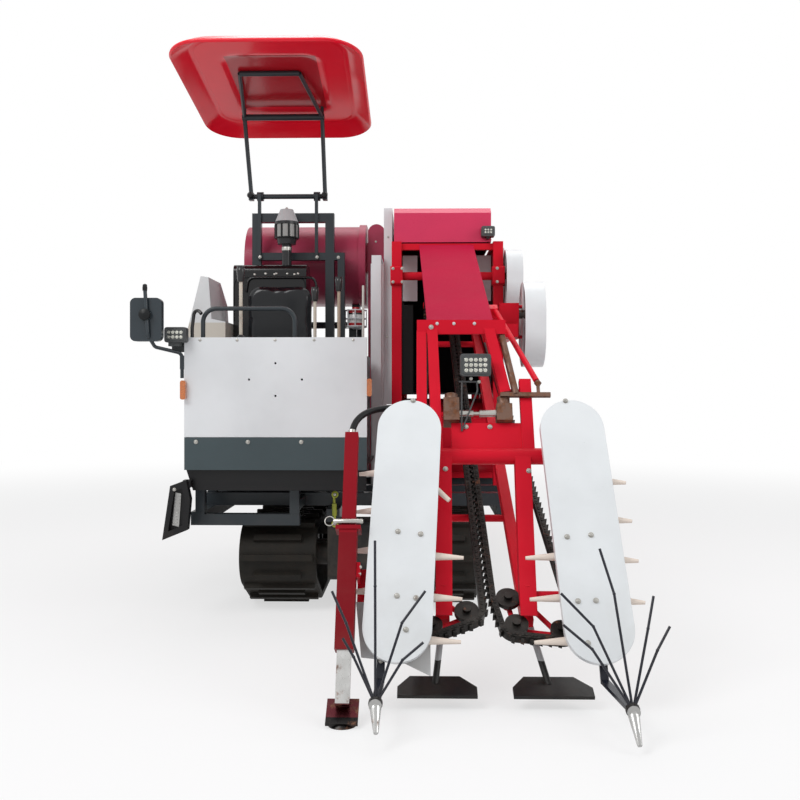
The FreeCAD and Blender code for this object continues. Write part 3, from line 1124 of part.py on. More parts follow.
def row_band(x, half_width, low, high, out, depth):
    """An obround plate on the row plane between two heights."""
    circles = [(x, low + half_width, half_width), (x, high - half_width, half_width)]
    face = hull_face(circles, 0.0, lambda p, q: Vector(*row(p, q, out)))
    return face.extrude(Vector(*row(0, 0, depth)) - Vector(*row(0, 0, 0)))


def row_cover(x, side):
    """The tray over one row's finger chain."""
    width, length, depth = ROW_COVER
    low = ROW_FOOT_S
    high = ROW_FOOT_S + length
    tray = row_band(x, width / 2, low, high, -depth, depth)
    room = row_band(x, width / 2 - 4, low + 4, high - 4, -depth - 5, depth + 1)
    bosses = [rod(row(x, s, -depth - 25.7), row(x, s, -3), 16) for s in (low + 230, high - 300)]
    return splayed(joined(tray.cut(room), *bosses), side)


def row_guide(x, side):
    """The plate behind one finger chain; the left-hand one widens into a crop shield at its foot."""
    low = ROW_FOOT_S + 16
    high = ROW_FOOT_S + ROW_COVER[1] - 45
    plate = splayed(row_band(x, 60, low, high, GUIDE_BACK, 12), side)
    if side > 0:
        return plate
    outline = [(38, 405), (60, 225), (190, 212), (284, 168), (284, 405)]
    wire = Part.makePolygon([Vector(*row(p, q, GUIDE_BACK)) for p, q in outline + outline[:1]])
    shield = Part.Face(wire).extrude(Vector(*row(0, 0, 3)) - Vector(*row(0, 0, 0)))
    return joined(plate, shield)


def finger(x, s, way, reach, droop):
    """One rubber finger, a tapered peg from the chain to `reach` from the case's middle."""
    return cone(row(x + way * 66, s, -44), row(x + way * reach, s - droop, -44), 17, 6)


def finger_chain(x, side, outer_first):
    """The chain loop of one row with its rubber fingers pointing outwards."""
    low = ROW_FOOT_S + 50
    high = ROW_FOOT_S + ROW_COVER[1] - 50
    loop = row_band(x, 72, low, high, -53.7, 12).cut(row_band(x, 58, low + 14, high - 14, -56, 20))
    parts = [loop]
    for i in range(4):
        parts.append(finger(x, outer_first + i * FINGER_PITCH, side, FINGER_REACH[0], 13))
    for i in range(3):
        parts.append(finger(x, INNER_FIRST_S + i * FINGER_PITCH, -side, FINGER_REACH[1], 0))
    if side < 0:
        parts.append(cone(row(x + 72, 830, -44), row(x + 152, 762, -44), 13, 8))
    return splayed(joined(*parts), side)


INNER_FIRST_S = 281.0
OUTER_FIRST_S = (436.0, 406.0)
cover_list = []
guide_list = []
finger_list = []
for side, x, outer_first in zip((-1, 1), ROW_TOP_X, OUTER_FIRST_S):
    cover_list.append(row_cover(x, side))
    guide_list.append(row_guide(x, side))
    finger_list.append(finger_chain(x, side, outer_first))
save("row_covers", *cover_list)
save("row_guides", *guide_list)
save("finger_chains", *finger_list)


def divider(root, tip, rods, arm_x):
    """A point with its flat arm up the case's guide and the black rods that lift the vines."""
    behind = GUIDE_BACK - 5.3
    hub = (root[0], root[1] - 16, root[2])
    parts = [beam(row(arm_x, 300, behind), row(arm_x, 150, behind), 26, 10),
             beam(row(arm_x, 156, behind), root, 26, 12),
             rod(hub, (root[0], root[1] + 18, root[2]), 19), cone(root, tip, 16, 6)]
    for dx, dy, dz, bow in rods:
        end = (root[0] + dx, root[1] + dy, root[2] + dz)
        knee = (root[0] + dx * 0.62 + bow, root[1] + dy * 0.6, root[2] + dz * 0.72)
        parts.append(rod(root, knee, 4))
        parts.append(rod(knee, end, 4))
        parts.append(Part.makeSphere(5, Vector(*knee)))
    return joined(*parts)


LEFT_ROOT = (120.0, -2280.0, 118.0)
RIGHT_ROOT = (868.0, -2280.0, 104.0)
left_rods = ((-135, 85, 311, -6), (-99, 40, 182, -4), (-7, 120, 458, 0), (146, 85, 313, -14),
             (140, 40, 171, -8))
right_rods = ((-196, 85, 322, 16), (-196, 40, 239, 8), (-74, 120, 450, 6), (80, 85, 315, 6),
              (117, 40, 236, 4))
save("row_dividers",
     divider(LEFT_ROOT, (124, FRONT_Y, 56), left_rods, 124),
     divider(RIGHT_ROOT, (873, FRONT_Y, 26), right_rods, 838))


def shovel(x, arm_x):
    """A digging blade with cut upper corners on its round arm."""
    half = SHOVEL_WIDTH / 2
    low = Vector(0, -1990, 50)
    rise = Vector(0, 95, 34)
    corners = [low + Vector(x - half, 0, 0), low + Vector(x + half, 0, 0),
               low + rise * 0.45 + Vector(x + half, 0, 0),
               low + rise + Vector(x + half - 55, 0, 0), low + rise + Vector(x - half + 40, 0, 0),
               low + rise * 0.45 + Vector(x - half, 0, 0)]
    blade = Part.Face(Part.makePolygon(corners + corners[:1])).extrude(Vector(0, 4, -11))
    arm = rod((arm_x[0], -1925, 66), clamp(arm_x[1], 100, RAIL_RISE - 6), 11).cut(header)
    return joined(blade, arm)


save("digging_shovels", shovel(306, (300, 330)), shovel(682, (672, 612)))

# ---------------------------------------------------------------- header: jack, lamp and hoses
jack_top = 985.0
jack_knee = 640.0
jack_low = 232.0
jack_bore = 628.0
outer = JACK_ROD + 2 * JACK_WALL
tube = joined(beam(row(JACK_X, jack_low), row(JACK_X, jack_knee), outer, outer),
              beam(row(JACK_X, jack_knee - 6), row(JACK_X, jack_top), JACK_UPPER, JACK_UPPER),
              beam(row(JACK_X, jack_knee - 14), row(JACK_X, jack_knee), outer + 24, outer + 8))
hole = JACK_ROD + 2 * JACK_GAP
tube = tube.cut(beam(row(JACK_X, jack_low - 5), row(JACK_X, jack_bore), hole, hole))
save("jack_tube", tube)
foot_y = row(0, 60)[1]
sole = cone((JACK_X, foot_y, 0), (JACK_X, foot_y, 26), 44, 20)
pad = block(around(JACK_X, 100), (-48, 48), (-5, 5))
pad.rotate(Vector(0, 0, 0), Vector(1, 0, 0), 32)
pad.translate(Vector(0, foot_y + 4, 38))
leg = beam(row(JACK_X, 66), row(JACK_X, 500), JACK_ROD, JACK_ROD)
save("jack_leg", joined(leg, pad, sole))

lamp = rounded((400, 514), (-1515, -1470), (1082, 1166), 10, "y")
stay_foot = row(403, CROSS_S + 95, FRAME_DEPTH + 7 + 3.3)
stay_knee = (403, stay_foot[1] + 8, 1040)
crossbar = ((396, -1500, 1062), (470, -1500, 1062))
stays = [bent_tube([stay_foot, stay_knee, (406, -1500, 1062)], 3, 12),
         bent_tube([stay_foot, (462, -1545, 1030), (462, -1500, 1062)], 3, 12),
         rod(*crossbar, 3.6), rod((440, -1500, 1062), (440, -1500, 1084), 3)]
save("header_lamp", joined(lamp, *stays))

# ---------------------------------------------------------------- hydraulic hoses
HOSE = 8.0                 # radius of the hydraulic hoses


def hose(points, bend):
    """A hose of one length along a rounded route."""
    return bent_tube(points, HOSE, bend)


fitting_top = Vector(*row(JACK_X, jack_top + 22))
fitting = rod(row(JACK_X, jack_top + 0.3), tuple(fitting_top), 13)
jack_hose = hose([tuple(fitting_top), row(JACK_X, jack_top + 90), row(120, jack_top + 150, -100),
                  row(215, CROSS_S + 60, -150)], 40)
save("header_hoses", joined(fitting, jack_hose))
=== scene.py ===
import math

import bmesh
import bpy
import numpy as np
from mathutils import Matrix, Vector
from mathutils.bvhtree import BVHTree


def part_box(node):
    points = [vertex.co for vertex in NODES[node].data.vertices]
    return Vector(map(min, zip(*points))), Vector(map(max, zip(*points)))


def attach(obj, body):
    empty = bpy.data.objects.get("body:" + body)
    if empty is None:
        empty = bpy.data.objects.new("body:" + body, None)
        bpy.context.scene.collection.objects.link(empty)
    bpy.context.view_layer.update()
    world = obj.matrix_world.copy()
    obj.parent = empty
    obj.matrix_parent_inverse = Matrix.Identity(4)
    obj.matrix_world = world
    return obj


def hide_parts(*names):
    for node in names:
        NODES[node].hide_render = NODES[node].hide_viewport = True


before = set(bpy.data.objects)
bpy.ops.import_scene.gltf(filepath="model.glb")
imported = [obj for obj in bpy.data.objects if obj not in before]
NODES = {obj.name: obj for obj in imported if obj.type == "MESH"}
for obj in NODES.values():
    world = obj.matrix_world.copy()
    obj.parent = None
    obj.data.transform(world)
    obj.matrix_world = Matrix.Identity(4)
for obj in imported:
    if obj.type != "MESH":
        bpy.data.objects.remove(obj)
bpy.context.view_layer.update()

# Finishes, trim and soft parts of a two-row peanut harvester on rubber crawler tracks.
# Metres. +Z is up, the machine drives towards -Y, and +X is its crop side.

ORIGIN, UP, FRONT, BACK, CROP = (0, 0, 0), (0, 0, 1), (0, -1, 0), (0, 1, 0), (1, 0, 0)
FAR = 9.0           # further out than any point of the machine
ALL = (-FAR, FAR)   # reach of a zone along an axis that does not limit it


# ---------------------------------------------------------------- places worked out from the frame
def corners(node):
    """Lowest and highest corner of a node as numpy arrays."""
    low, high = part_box(node)
    return np.array(low), np.array(high)


CLAMP_ANGLE = math.radians(36.0)    # incline of the clamp chains
ROW_ANGLE = math.radians(62.66)     # incline of the row cases
MOUTH = (0.0, -1.900, 0.250)        # where the clamp chains' incline starts
ROW_BASE = (0.0, -2.148, 0.0)       # where the row cases' incline starts


def inclined(origin, angle, x, along, rise):
    """Point `along` an incline of that angle from the origin and `rise` square to it.

    The way up the incline is (0, cos, sin) and the way off it is (0, -sin, cos).
    """
    x, along, rise = np.broadcast_arrays(np.asarray(x, float), along, rise)
    y = origin[1] + math.cos(angle) * along - math.sin(angle) * rise
    z = origin[2] + math.sin(angle) * along + math.cos(angle) * rise
    return np.stack([origin[0] + x, y, z], -1)


def on_clamp(x, along, rise=0.0):
    """Point on the clamp chains' incline."""
    return inclined(MOUTH, CLAMP_ANGLE, x, along, rise)


def on_row(x, along, rise=0.0):
    """Point on the row cases' incline."""
    return inclined(ROW_BASE, ROW_ANGLE, x, along, rise)


# ---------------------------------------------------------------- shader node helpers
def add_node(tree, kind, inputs=None, **settings):
    """A node of that kind with its settings, and its inputs set or linked by name or number."""
    node = tree.nodes.new("ShaderNode" + kind)
    for name, value in settings.items():
        setattr(node, name, value)
    for name, value in (inputs or {}).items():
        if isinstance(value, bpy.types.NodeSocket):
            tree.links.new(value, node.inputs[name])
        else:
            node.inputs[name].default_value = value
    return node


def noise(tree, where, scale, detail=3.0, rough=0.55):
    """Value of a noise texture."""
    return add_node(tree, "TexNoise", {"Vector": where, "Scale": scale, "Detail": detail,
                                       "Roughness": rough}).outputs[0]


def ramp(tree, value, low, high, out_low=0.0, out_high=1.0, smooth=True):
    """Value carried from one range to another and held at its ends."""
    kind = "SMOOTHSTEP" if smooth else "LINEAR"
    return add_node(tree, "MapRange", {"Value": value, "From Min": low, "From Max": high,
                                       "To Min": out_low, "To Max": out_high},
                    interpolation_type=kind).outputs[0]


def math_node(tree, operation, first, second):
    """Result of an arithmetic node with two values."""
    return add_node(tree, "Math", {0: first, 1: second}, operation=operation).outputs[0]


def times(tree, first, second):
    """Product of two values."""
    return math_node(tree, "MULTIPLY", first, second)


def plus(tree, first, second):
    """Sum of two values."""
    return math_node(tree, "ADD", first, second)


def mixed(tree, share, first, second):
    """Two colours mixed by a share."""
    return add_node(tree, "Mix", {0: share, 6: first, 7: second}, data_type="RGBA").outputs[2]


def new_group(name, inputs, outputs):
    """An empty shader group with its sockets, its group input node and its group output node."""
    tree = bpy.data.node_groups.new(name, "ShaderNodeTree")
    for socket, kind, value in inputs:
        item = tree.interface.new_socket(socket, in_out="INPUT", socket_type="NodeSocket" + kind)
        if value is not None:
            item.default_value = value
    for socket, kind in outputs:
        tree.interface.new_socket(socket, in_out="OUTPUT", socket_type="NodeSocket" + kind)
    return tree, tree.nodes.new("NodeGroupInput").outputs, tree.nodes.new("NodeGroupOutput").inputs


def colour(red, green, blue):
    """A colour with full alpha."""
    return (red, green, blue, 1.0)


def emptied(owner):
    """The node tree of a world or a material, without its nodes."""
    owner.use_nodes = True
    owner.node_tree.nodes.clear()
    return owner.node_tree


# ---------------------------------------------------------------- shader groups
def edge_group():
    """Softened edges: a rounded normal and a mask that is 1 where faces turn sharply."""
    tree, given, out = new_group("soft_edges", [("Radius", "Float", 0.002), ("Normal", "Vector", None)],
                                 [("Normal", "Vector"), ("Edge", "Float")])
    bevel = add_node(tree, "Bevel", {"Radius": given["Radius"], "Normal": given["Normal"]}, samples=4)
    flat = add_node(tree, "NewGeometry").outputs["True Normal"]
    turn = add_node(tree, "VectorMath", {0: bevel.outputs[0], 1: flat}, operation="DOT_PRODUCT")
    tree.links.new(bevel.outputs[0], out["Normal"])
    tree.links.new(ramp(tree, turn.outputs["Value"], 0.995, 0.80), out["Edge"])
    return tree


def paint_group():
    """Sprayed paint: cloudy tone, thin field dust, chips at the edges and faint orange peel."""
    tree, given, out = new_group(
        "sprayed_paint",
        [("Paint", "Color", colour(0.5, 0.5, 0.5)), ("Under", "Color", colour(0.1, 0.1, 0.1)),
         ("Dust Colour", "Color", colour(0.30, 0.25, 0.19)), ("Edge", "Float", 0.0),
         ("Wear", "Float", 0.3), ("Dust", "Float", 0.2), ("Gloss", "Float", 0.3)],
        [("Color", "Color"), ("Roughness", "Float"), ("Height", "Float"), ("Bare", "Float")])
    coord = add_node(tree, "TexCoord")
    where = coord.outputs["Object"]
    cloud = noise(tree, where, 2.6, 4.0)
    tone = mixed(tree, ramp(tree, cloud, 0.3, 0.7), given["Paint"],
                 mixed(tree, 0.10, given["Paint"], colour(0.0, 0.0, 0.0)))
    speck = noise(tree, where, 95.0, 3.0, 0.7)
    broken = noise(tree, where, 24.0, 5.0, 0.65)
    chip = times(tree, given["Edge"], ramp(tree, broken, 0.50, 0.66))
    dot = ramp(tree, noise(tree, where, 60.0, 2.0), 0.80, 0.82)
    chip = times(tree, math_node(tree, "MAXIMUM", chip, dot), given["Wear"])
    up = add_node(tree, "SeparateXYZ", {0: coord.outputs["Normal"]}).outputs[2]
    height = add_node(tree, "SeparateXYZ", {0: where}).outputs[2]
    low = ramp(tree, height, 0.75, 0.05, 0.0, 1.0)
    shelf = ramp(tree, up, 0.35, 0.95, 0.0, 0.8)
    film = math_node(tree, "MAXIMUM", shelf, low)
    patch = ramp(tree, noise(tree, where, 7.0, 6.0, 0.62), 0.36, 0.68)
    film = times(tree, times(tree, film, patch), given["Dust"])
    painted = mixed(tree, chip, tone, given["Under"])
    tree.links.new(mixed(tree, film, painted, given["Dust Colour"]), out["Color"])
    uneven = ramp(tree, speck, 0.3, 0.7, -0.04, 0.06, False)
    rough = plus(tree, given["Gloss"], uneven)
    rough = plus(tree, rough, times(tree, film, 0.45))
    rough = plus(tree, rough, times(tree, chip, 0.35))
    tree.links.new(rough, out["Roughness"])
    peel = noise(tree, where, 210.0, 2.0)
    sag = noise(tree, where, 9.0, 1.0)
    relief = plus(tree, times(tree, peel, 0.25), times(tree, sag, 1.6))
    tree.links.new(math_node(tree, "SUBTRACT", relief, times(tree, chip, 1.2)), out["Height"])
    tree.links.new(chip, out["Bare"])
    return tree


def metal_group():
    """Bare metal: drawn scratches, cloudy tarnish and rust that gathers in patches."""
    tree, given, out = new_group(
        "bare_metal",
        [("Metal", "Color", colour(0.6, 0.6, 0.6)), ("Rust Colour", "Color", colour(0.20, 0.075, 0.03)),
         ("Rust", "Float", 0.2), ("Stretch", "Vector", (1.0, 1.0, 1.0)), ("Gloss", "Float", 0.3)],
        [("Color", "Color"), ("Roughness", "Float"), ("Height", "Float"), ("Metallic", "Float")])
    where = add_node(tree, "TexCoord").outputs["Object"]
    drawn = add_node(tree, "VectorMath", {0: where, 1: given["Stretch"]}, operation="MULTIPLY").outputs[0]
    scratch = noise(tree, drawn, 180.0, 3.0, 0.7)
    cloud = noise(tree, where, 14.0, 5.0)
    patch = plus(tree, noise(tree, where, 22.0, 6.0, 0.7), times(tree, given["Rust"], 0.35))
    rust = ramp(tree, patch, 0.62, 0.78)
    rust = times(tree, rust, ramp(tree, given["Rust"], 0.0, 0.1))
    clean = mixed(tree, ramp(tree, cloud, 0.3, 0.75), given["Metal"],
                  mixed(tree, 0.28, given["Metal"], colour(0.10, 0.09, 0.08)))
    brown = mixed(tree, ramp(tree, noise(tree, where, 70.0, 3.0), 0.35, 0.65), given["Rust Colour"],
                  mixed(tree, 0.5, given["Rust Colour"], colour(0.03, 0.015, 0.01)))
    tree.links.new(mixed(tree, rust, clean, brown), out["Color"])
    rough = plus(tree, given["Gloss"], ramp(tree, scratch, 0.3, 0.7, -0.06, 0.10, False))
    tree.links.new(plus(tree, rough, times(tree, rust, 0.4)), out["Roughness"])
    relief = plus(tree, times(tree, scratch, 0.3), times(tree, rust, 0.8))
    tree.links.new(relief, out["Height"])
    tree.links.new(ramp(tree, rust, 0.0, 1.0, 1.0, 0.0), out["Metallic"])
    return tree


def grain_group():
    """Moulded grain: small cells with soft valleys, broken by finer noise, and a dry bloom in patches."""
    tree, given, out = new_group(
        "moulded_grain",
        [("Tone", "Color", colour(0.05, 0.05, 0.05)), ("Bloom Colour", "Color", colour(0.16, 0.14, 0.12)),
         ("Bloom", "Float", 0.2), ("Cell Scale", "Float", 400.0), ("Gloss", "Float", 0.5)],
        [("Color", "Color"), ("Roughness", "Float"), ("Height", "Float")])
    coord = add_node(tree, "TexCoord")
    where = coord.outputs["Object"]
    cells = add_node(tree, "TexVoronoi", {"Vector": where, "Scale": given["Cell Scale"]},
                     feature="SMOOTH_F1").outputs["Distance"]
    fine = noise(tree, where, 130.0, 4.0, 0.6)
    height = add_node(tree, "SeparateXYZ", {0: where}).outputs[2]
    low = ramp(tree, height, 0.9, 0.0, 0.25, 1.0)
    patch = ramp(tree, noise(tree, where, 11.0, 6.0, 0.65), 0.34, 0.70)
    bloom = times(tree, times(tree, patch, low), given["Bloom"])
    tree.links.new(mixed(tree, bloom, given["Tone"], given["Bloom Colour"]), out["Color"])
    rough = plus(tree, given["Gloss"], ramp(tree, fine, 0.3, 0.7, -0.05, 0.06, False))
    tree.links.new(plus(tree, rough, times(tree, bloom, 0.35)), out["Roughness"])
    tree.links.new(plus(tree, cells, times(tree, fine, 0.4)), out["Height"])
    return tree


def zone_group():
    """Mask that is 1 inside a box given by its low and high corners in object coordinates."""
    tree, given, out = new_group("zone_box",
                                 [("Low", "Vector", (-FAR, -FAR, -FAR)), ("High", "Vector", (FAR, FAR, FAR))],
                                 [("Mask", "Float")])
    where = add_node(tree, "TexCoord").outputs["Object"]
    place = add_node(tree, "SeparateXYZ", {0: where}).outputs
    low = add_node(tree, "SeparateXYZ", {0: given["Low"]}).outputs
    high = add_node(tree, "SeparateXYZ", {0: given["High"]}).outputs
    mask = None
    for axis in range(3):
        above = math_node(tree, "GREATER_THAN", place[axis], low[axis])
        below = math_node(tree, "LESS_THAN", place[axis], high[axis])
        both = times(tree, above, below)
        mask = both if mask is None else times(tree, mask, both)
    tree.links.new(mask, out["Mask"])
    return tree


ZONE = zone_group()
EDGES = edge_group()
PAINT = paint_group()
METAL = metal_group()
GRAIN = grain_group()


# ---------------------------------------------------------------- materials
def new_material(name):
    """An empty node material with its Principled shader."""
    material = bpy.data.materials.new(name)
    tree = emptied(material)
    shader = add_node(tree, "BsdfPrincipled")
    out = add_node(tree, "OutputMaterial", {"Surface": shader.outputs[0]})
    out.is_active_output = True
    return material, tree, shader


def use_group(tree, group, inputs):
    """The outputs of a group placed in a material's tree."""
    return add_node(tree, "Group", inputs, node_tree=group).outputs


def bumped(tree, height, distance):
    """Normal of a bump."""
    return add_node(tree, "Bump", {"Height": height, "Distance": distance, "Strength": 1.0}).outputs[0]


def zone(tone, x=ALL, y=ALL, z=ALL):
    """A box with a tone of its own, given by its reach along each axis."""
    return (x[0], y[0], z[0]), (x[1], y[1], z[1]), tone


def zoned(tree, tone, zones):
    """A tone that changes to another inside each zone."""
    value = colour(*tone)
    for low, high, other in zones:
        mask = use_group(tree, ZONE, {"Low": low, "High": high})["Mask"]
        value = mixed(tree, mask, value, colour(*other))
    return value


def dressed(tree, shader, surface, relief, edge_normal):
    """Joins a surface group's outputs, its relief and the softened edges to the shader."""
    bump = bumped(tree, surface["Height"], relief)
    tree.links.new(edge_normal, bump.node.inputs["Normal"])
    tree.links.new(surface["Color"], shader.inputs["Base Color"])
    tree.links.new(surface["Roughness"], shader.inputs["Roughness"])
    tree.links.new(bump, shader.inputs["Normal"])


def glazed(shader, coat, coat_roughness, shine):
    """Sets the clear coat and the strength of the reflection."""
    shader.inputs["Coat Weight"].default_value = coat
    shader.inputs["Coat Roughness"].default_value = coat_roughness
    shader.inputs["Specular IOR Level"].default_value = shine


def painted(name, paint, gloss=0.30, coat=0.3, wear=0.35, dust=0.05, peel=0.00016, edge=0.0018,
            under=(0.10, 0.09, 0.085), shine=0.25, zones=()):
    """Paint over metal, with its edge softened and chipped."""
    material, tree, shader = new_material(name)
    edges = use_group(tree, EDGES, {"Radius": edge})
    spray = use_group(tree, PAINT, {"Paint": zoned(tree, paint, zones), "Under": colour(*under),
                                    "Edge": edges["Edge"], "Wear": wear, "Dust": dust, "Gloss": gloss})
    dressed(tree, shader, spray, peel, edges["Normal"])
    glazed(shader, coat, 0.12, shine)
    return material


def metal(name, tone, gloss=0.3, rust=0.0, stretch=(1.0, 1.0, 1.0), relief=0.0001, edge=0.001, zones=()):
    """Bare or plated metal."""
    material, tree, shader = new_material(name)
    worn = use_group(tree, METAL, {"Metal": zoned(tree, tone, zones), "Rust": rust, "Stretch": stretch,
                                   "Gloss": gloss})
    dressed(tree, shader, worn, relief, use_group(tree, EDGES, {"Radius": edge})["Normal"])
    tree.links.new(worn["Metallic"], shader.inputs["Metallic"])
    return material


def moulded(name, tone, gloss=0.5, bloom=0.0, cells=900.0, relief=0.0002, coat=0.0,
            bloom_colour=(0.16, 0.14, 0.12), edge=0.002, shine=0.2, zones=()):
    """Rubber, vinyl or plastic with a moulded grain."""
    material, tree, shader = new_material(name)
    grain = use_group(tree, GRAIN, {"Tone": zoned(tree, tone, zones), "Bloom Colour": colour(*bloom_colour),
                                    "Bloom": bloom, "Cell Scale": cells, "Gloss": gloss})
    dressed(tree, shader, grain, relief, use_group(tree, EDGES, {"Radius": edge})["Normal"])
    glazed(shader, coat, 0.15, shine)
    return material


def lens(name, tone, gloss=0.08, transmission=0.6):
    """Tinted moulded lens with a fine prism pattern inside."""
    material, tree, shader = new_material(name)
    where = add_node(tree, "TexCoord").outputs["Object"]
    prism = add_node(tree, "TexVoronoi", {"Vector": where, "Scale": 160.0}, distance="CHEBYCHEV")
    prism = prism.outputs["Distance"]
    deep = colour(*(0.35 * part for part in tone))
    shade = mixed(tree, ramp(tree, prism, 0.0, 0.7, 0.0, 0.45), colour(*tone), deep)
    tree.links.new(shade, shader.inputs["Base Color"])
    tree.links.new(ramp(tree, prism, 0.0, 1.0, gloss, gloss + 0.15), shader.inputs["Roughness"])
    tree.links.new(bumped(tree, prism, 0.0006), shader.inputs["Normal"])
    shader.inputs["Transmission Weight"].default_value = transmission
    shader.inputs["Coat Weight"].default_value = 0.8
    return material


GREY_UNDER = (0.16, 0.15, 0.14)
STICK = (0.58, 0.52, 0.44)         # bare steel of a lever's stick
BLACK_RING = (0.016, 0.016, 0.018)

RED = painted("red_paint", (0.68, 0.008, 0.026), gloss=0.40, coat=0.0, dust=0.04, shine=0.12)
RED_DULL = painted("dull_red_paint", (0.27, 0.004, 0.012), gloss=0.42, coat=0.0, wear=0.5, dust=0.06,
                   shine=0.10, zones=[zone((0.20, 0.004, 0.010), z=(-FAR, 0.56))])
RED_COVER = painted("cover_red", (0.46, 0.006, 0.045), gloss=0.60, coat=0.0, wear=0.5, dust=0.02, shine=0.04)
RED_DEEP = painted("deep_red_paint", (0.44, 0.050, 0.105), gloss=0.36, coat=0.05, wear=0.4, dust=0.08)
RED_HOOD = painted("hood_red", (0.66, 0.035, 0.110), coat=0.10, wear=0.25)
# canopy roof: the bright base red is painted light, standing in for light shining through the thin rim, and
# the darker zone over the middle panel is painted shade
ROOF_RED_PAINTED_LIGHT = painted("roof_red", (0.86, 0.010, 0.030), gloss=0.20, coat=0.15, wear=0.0, dust=0.03, peel=0.0001,
                   edge=0.004, zones=[zone((0.42, 0.008, 0.016), x=(-0.742, -0.278), y=(-0.28, 0.32))])
WHITE = painted("white_paint", (0.74, 0.76, 0.78), gloss=0.32, wear=0.2, dust=0.14)
WHITE_COVER = painted("cover_white", (0.79, 0.82, 0.84), wear=0.15, dust=0.10)
BEIGE = painted("beige_white", (0.66, 0.67, 0.68), gloss=0.36, coat=0.25, wear=0.2, dust=0.20,
                zones=[zone((0.56, 0.52, 0.46), z=(0.0, 1.38))])
PALE = painted("pale_grey_paint", (0.56, 0.57, 0.58), gloss=0.36, coat=0.1, wear=0.5, dust=0.2,
               under=(0.20, 0.10, 0.06))
SLATE = painted("slate_paint", (0.028, 0.036, 0.042), gloss=0.34, coat=0.10, wear=0.3, dust=0.08,
                under=GREY_UNDER)
GREY_GREEN = painted("grey_green_paint", (0.054, 0.076, 0.084), gloss=0.34, coat=0.10, wear=0.25)
DARK = painted("dark_paint", (0.010, 0.011, 0.012), gloss=0.45, coat=0.0, dust=0.20, under=(0.12, 0.10, 0.09))
BLACK = painted("black_paint", (0.006, 0.006, 0.007), gloss=0.36, coat=0.05, wear=0.15, dust=0.06,
                under=GREY_UNDER)
SHOVELS = painted("shovel_paint", (0.008, 0.008, 0.009), gloss=0.40, coat=0.05, wear=0.3,
                  zones=[zone((0.42, 0.43, 0.44), z=(0.135, FAR))])
RODS = painted("rod_black", (0.012, 0.014, 0.024), coat=0.1, wear=0.15, under=(0.30, 0.29, 0.28),
               zones=[zone((0.46, 0.46, 0.45), y=(-FAR, -2.292))])
HOOD_BLACK = painted("hood_black", (0.005, 0.005, 0.006), gloss=0.12, coat=0.25, wear=0.0, dust=0.02,
                     edge=0.009)
WHEELS = painted("wheel_paint", (0.014, 0.014, 0.015), gloss=0.55, coat=0.0, wear=0.5, dust=0.3)
YELLOW = painted("yellow_green_paint", (0.42, 0.47, 0.05), gloss=0.32, wear=0.4, dust=0.2)
CAN_RED = painted("can_red", (0.42, 0.014, 0.022), gloss=0.22, coat=0.5, wear=0.1, dust=0.1,
                  zones=[zone((0.68, 0.68, 0.67), z=(1.405, 1.452)),
                         zone((0.02, 0.02, 0.02), z=(1.452, 1.462))])

IRON = metal("cast_iron", (0.16, 0.15, 0.14), gloss=0.55, rust=0.35, relief=0.0005)
BROWN_IRON = metal("brown_casting", (0.17, 0.10, 0.075), gloss=0.50, rust=0.5, relief=0.0006)
STEEL = metal("bright_steel", (0.62, 0.62, 0.61), gloss=0.22, rust=0.12, stretch=(1.0, 1.0, 0.06))
JACK_STEEL = metal("jack_leg_steel", (0.56, 0.56, 0.55), rust=0.28, stretch=(1.0, 1.0, 0.08),
                   zones=[zone((0.012, 0.012, 0.013), z=(-FAR, 0.030)),
                          zone((0.10, 0.022, 0.028), z=(0.030, 0.072))])
ZINC = metal("zinc_plate", (0.46, 0.45, 0.42), rust=0.08)
OILED = metal("oiled_steel", (0.030, 0.028, 0.027), gloss=0.42, rust=0.15, relief=0.0003)
MIRROR_GLASS = metal("mirror_glass", (0.80, 0.82, 0.84), gloss=0.06, relief=0.00001)
SILVER_PLATE = metal("step_plate", (0.42, 0.42, 0.41), gloss=0.38, rust=0.10)
REFLECTOR = metal("lamp_reflector", (0.62, 0.62, 0.56), gloss=0.18, relief=0.00001)

TRACK = moulded("track_rubber", (0.012, 0.011, 0.009), gloss=0.60, bloom=0.20, cells=260.0, relief=0.0006,
                bloom_colour=(0.060, 0.046, 0.032), edge=0.005)
HOSE = moulded("hose_rubber", (0.007, 0.007, 0.008), gloss=0.36, bloom=0.04, cells=700.0, relief=0.0001)
PLASTIC = moulded("black_plastic", (0.010, 0.011, 0.012), gloss=0.34, bloom=0.03, cells=520.0, relief=0.00025)
MIRROR_SHELL = moulded("mirror_shell", (0.030, 0.040, 0.048), gloss=0.22, bloom=0.04, cells=700.0,
                       relief=0.0001, coat=0.3)
LEVERS = moulded("lever_knobs", (0.016, 0.016, 0.017), gloss=0.18, relief=0.00002, coat=0.5,
                 zones=[zone(STICK, x=(-FAR, -0.48), y=(-0.80, -0.78), z=(1.24, 1.515)),
                        zone(STICK, x=(-0.45, -0.22), z=(1.20, 1.463)),
                        zone((0.42, 0.33, 0.25), x=(-0.22, -0.10), z=(1.20, 1.513)),
                        zone((0.62, 0.60, 0.56), x=(-0.06, 0.02), z=(1.19, FAR))])
SILVER = moulded("silver_plastic", (0.42, 0.43, 0.44), gloss=0.28, bloom=0.05, relief=0.00003, coat=0.3,
                 zones=[zone(BLACK_RING, z=(1.700, 1.868)), zone(BLACK_RING, z=(1.945, 1.961)),
                        zone((0.30, 0.30, 0.29), z=(1.868, 1.945))])
CREAM = moulded("cream_rubber", (0.80, 0.70, 0.62), bloom=0.15, cells=600.0, relief=0.00012,
                bloom_colour=(0.40, 0.32, 0.24))
LAMP_GREY = moulded("lamp_housing", (0.075, 0.080, 0.082), gloss=0.45, bloom=0.10, cells=500.0)
LAMP_FRONT = moulded("lamp_front", (0.050, 0.055, 0.056), gloss=0.10, relief=0.00001, coat=0.8)
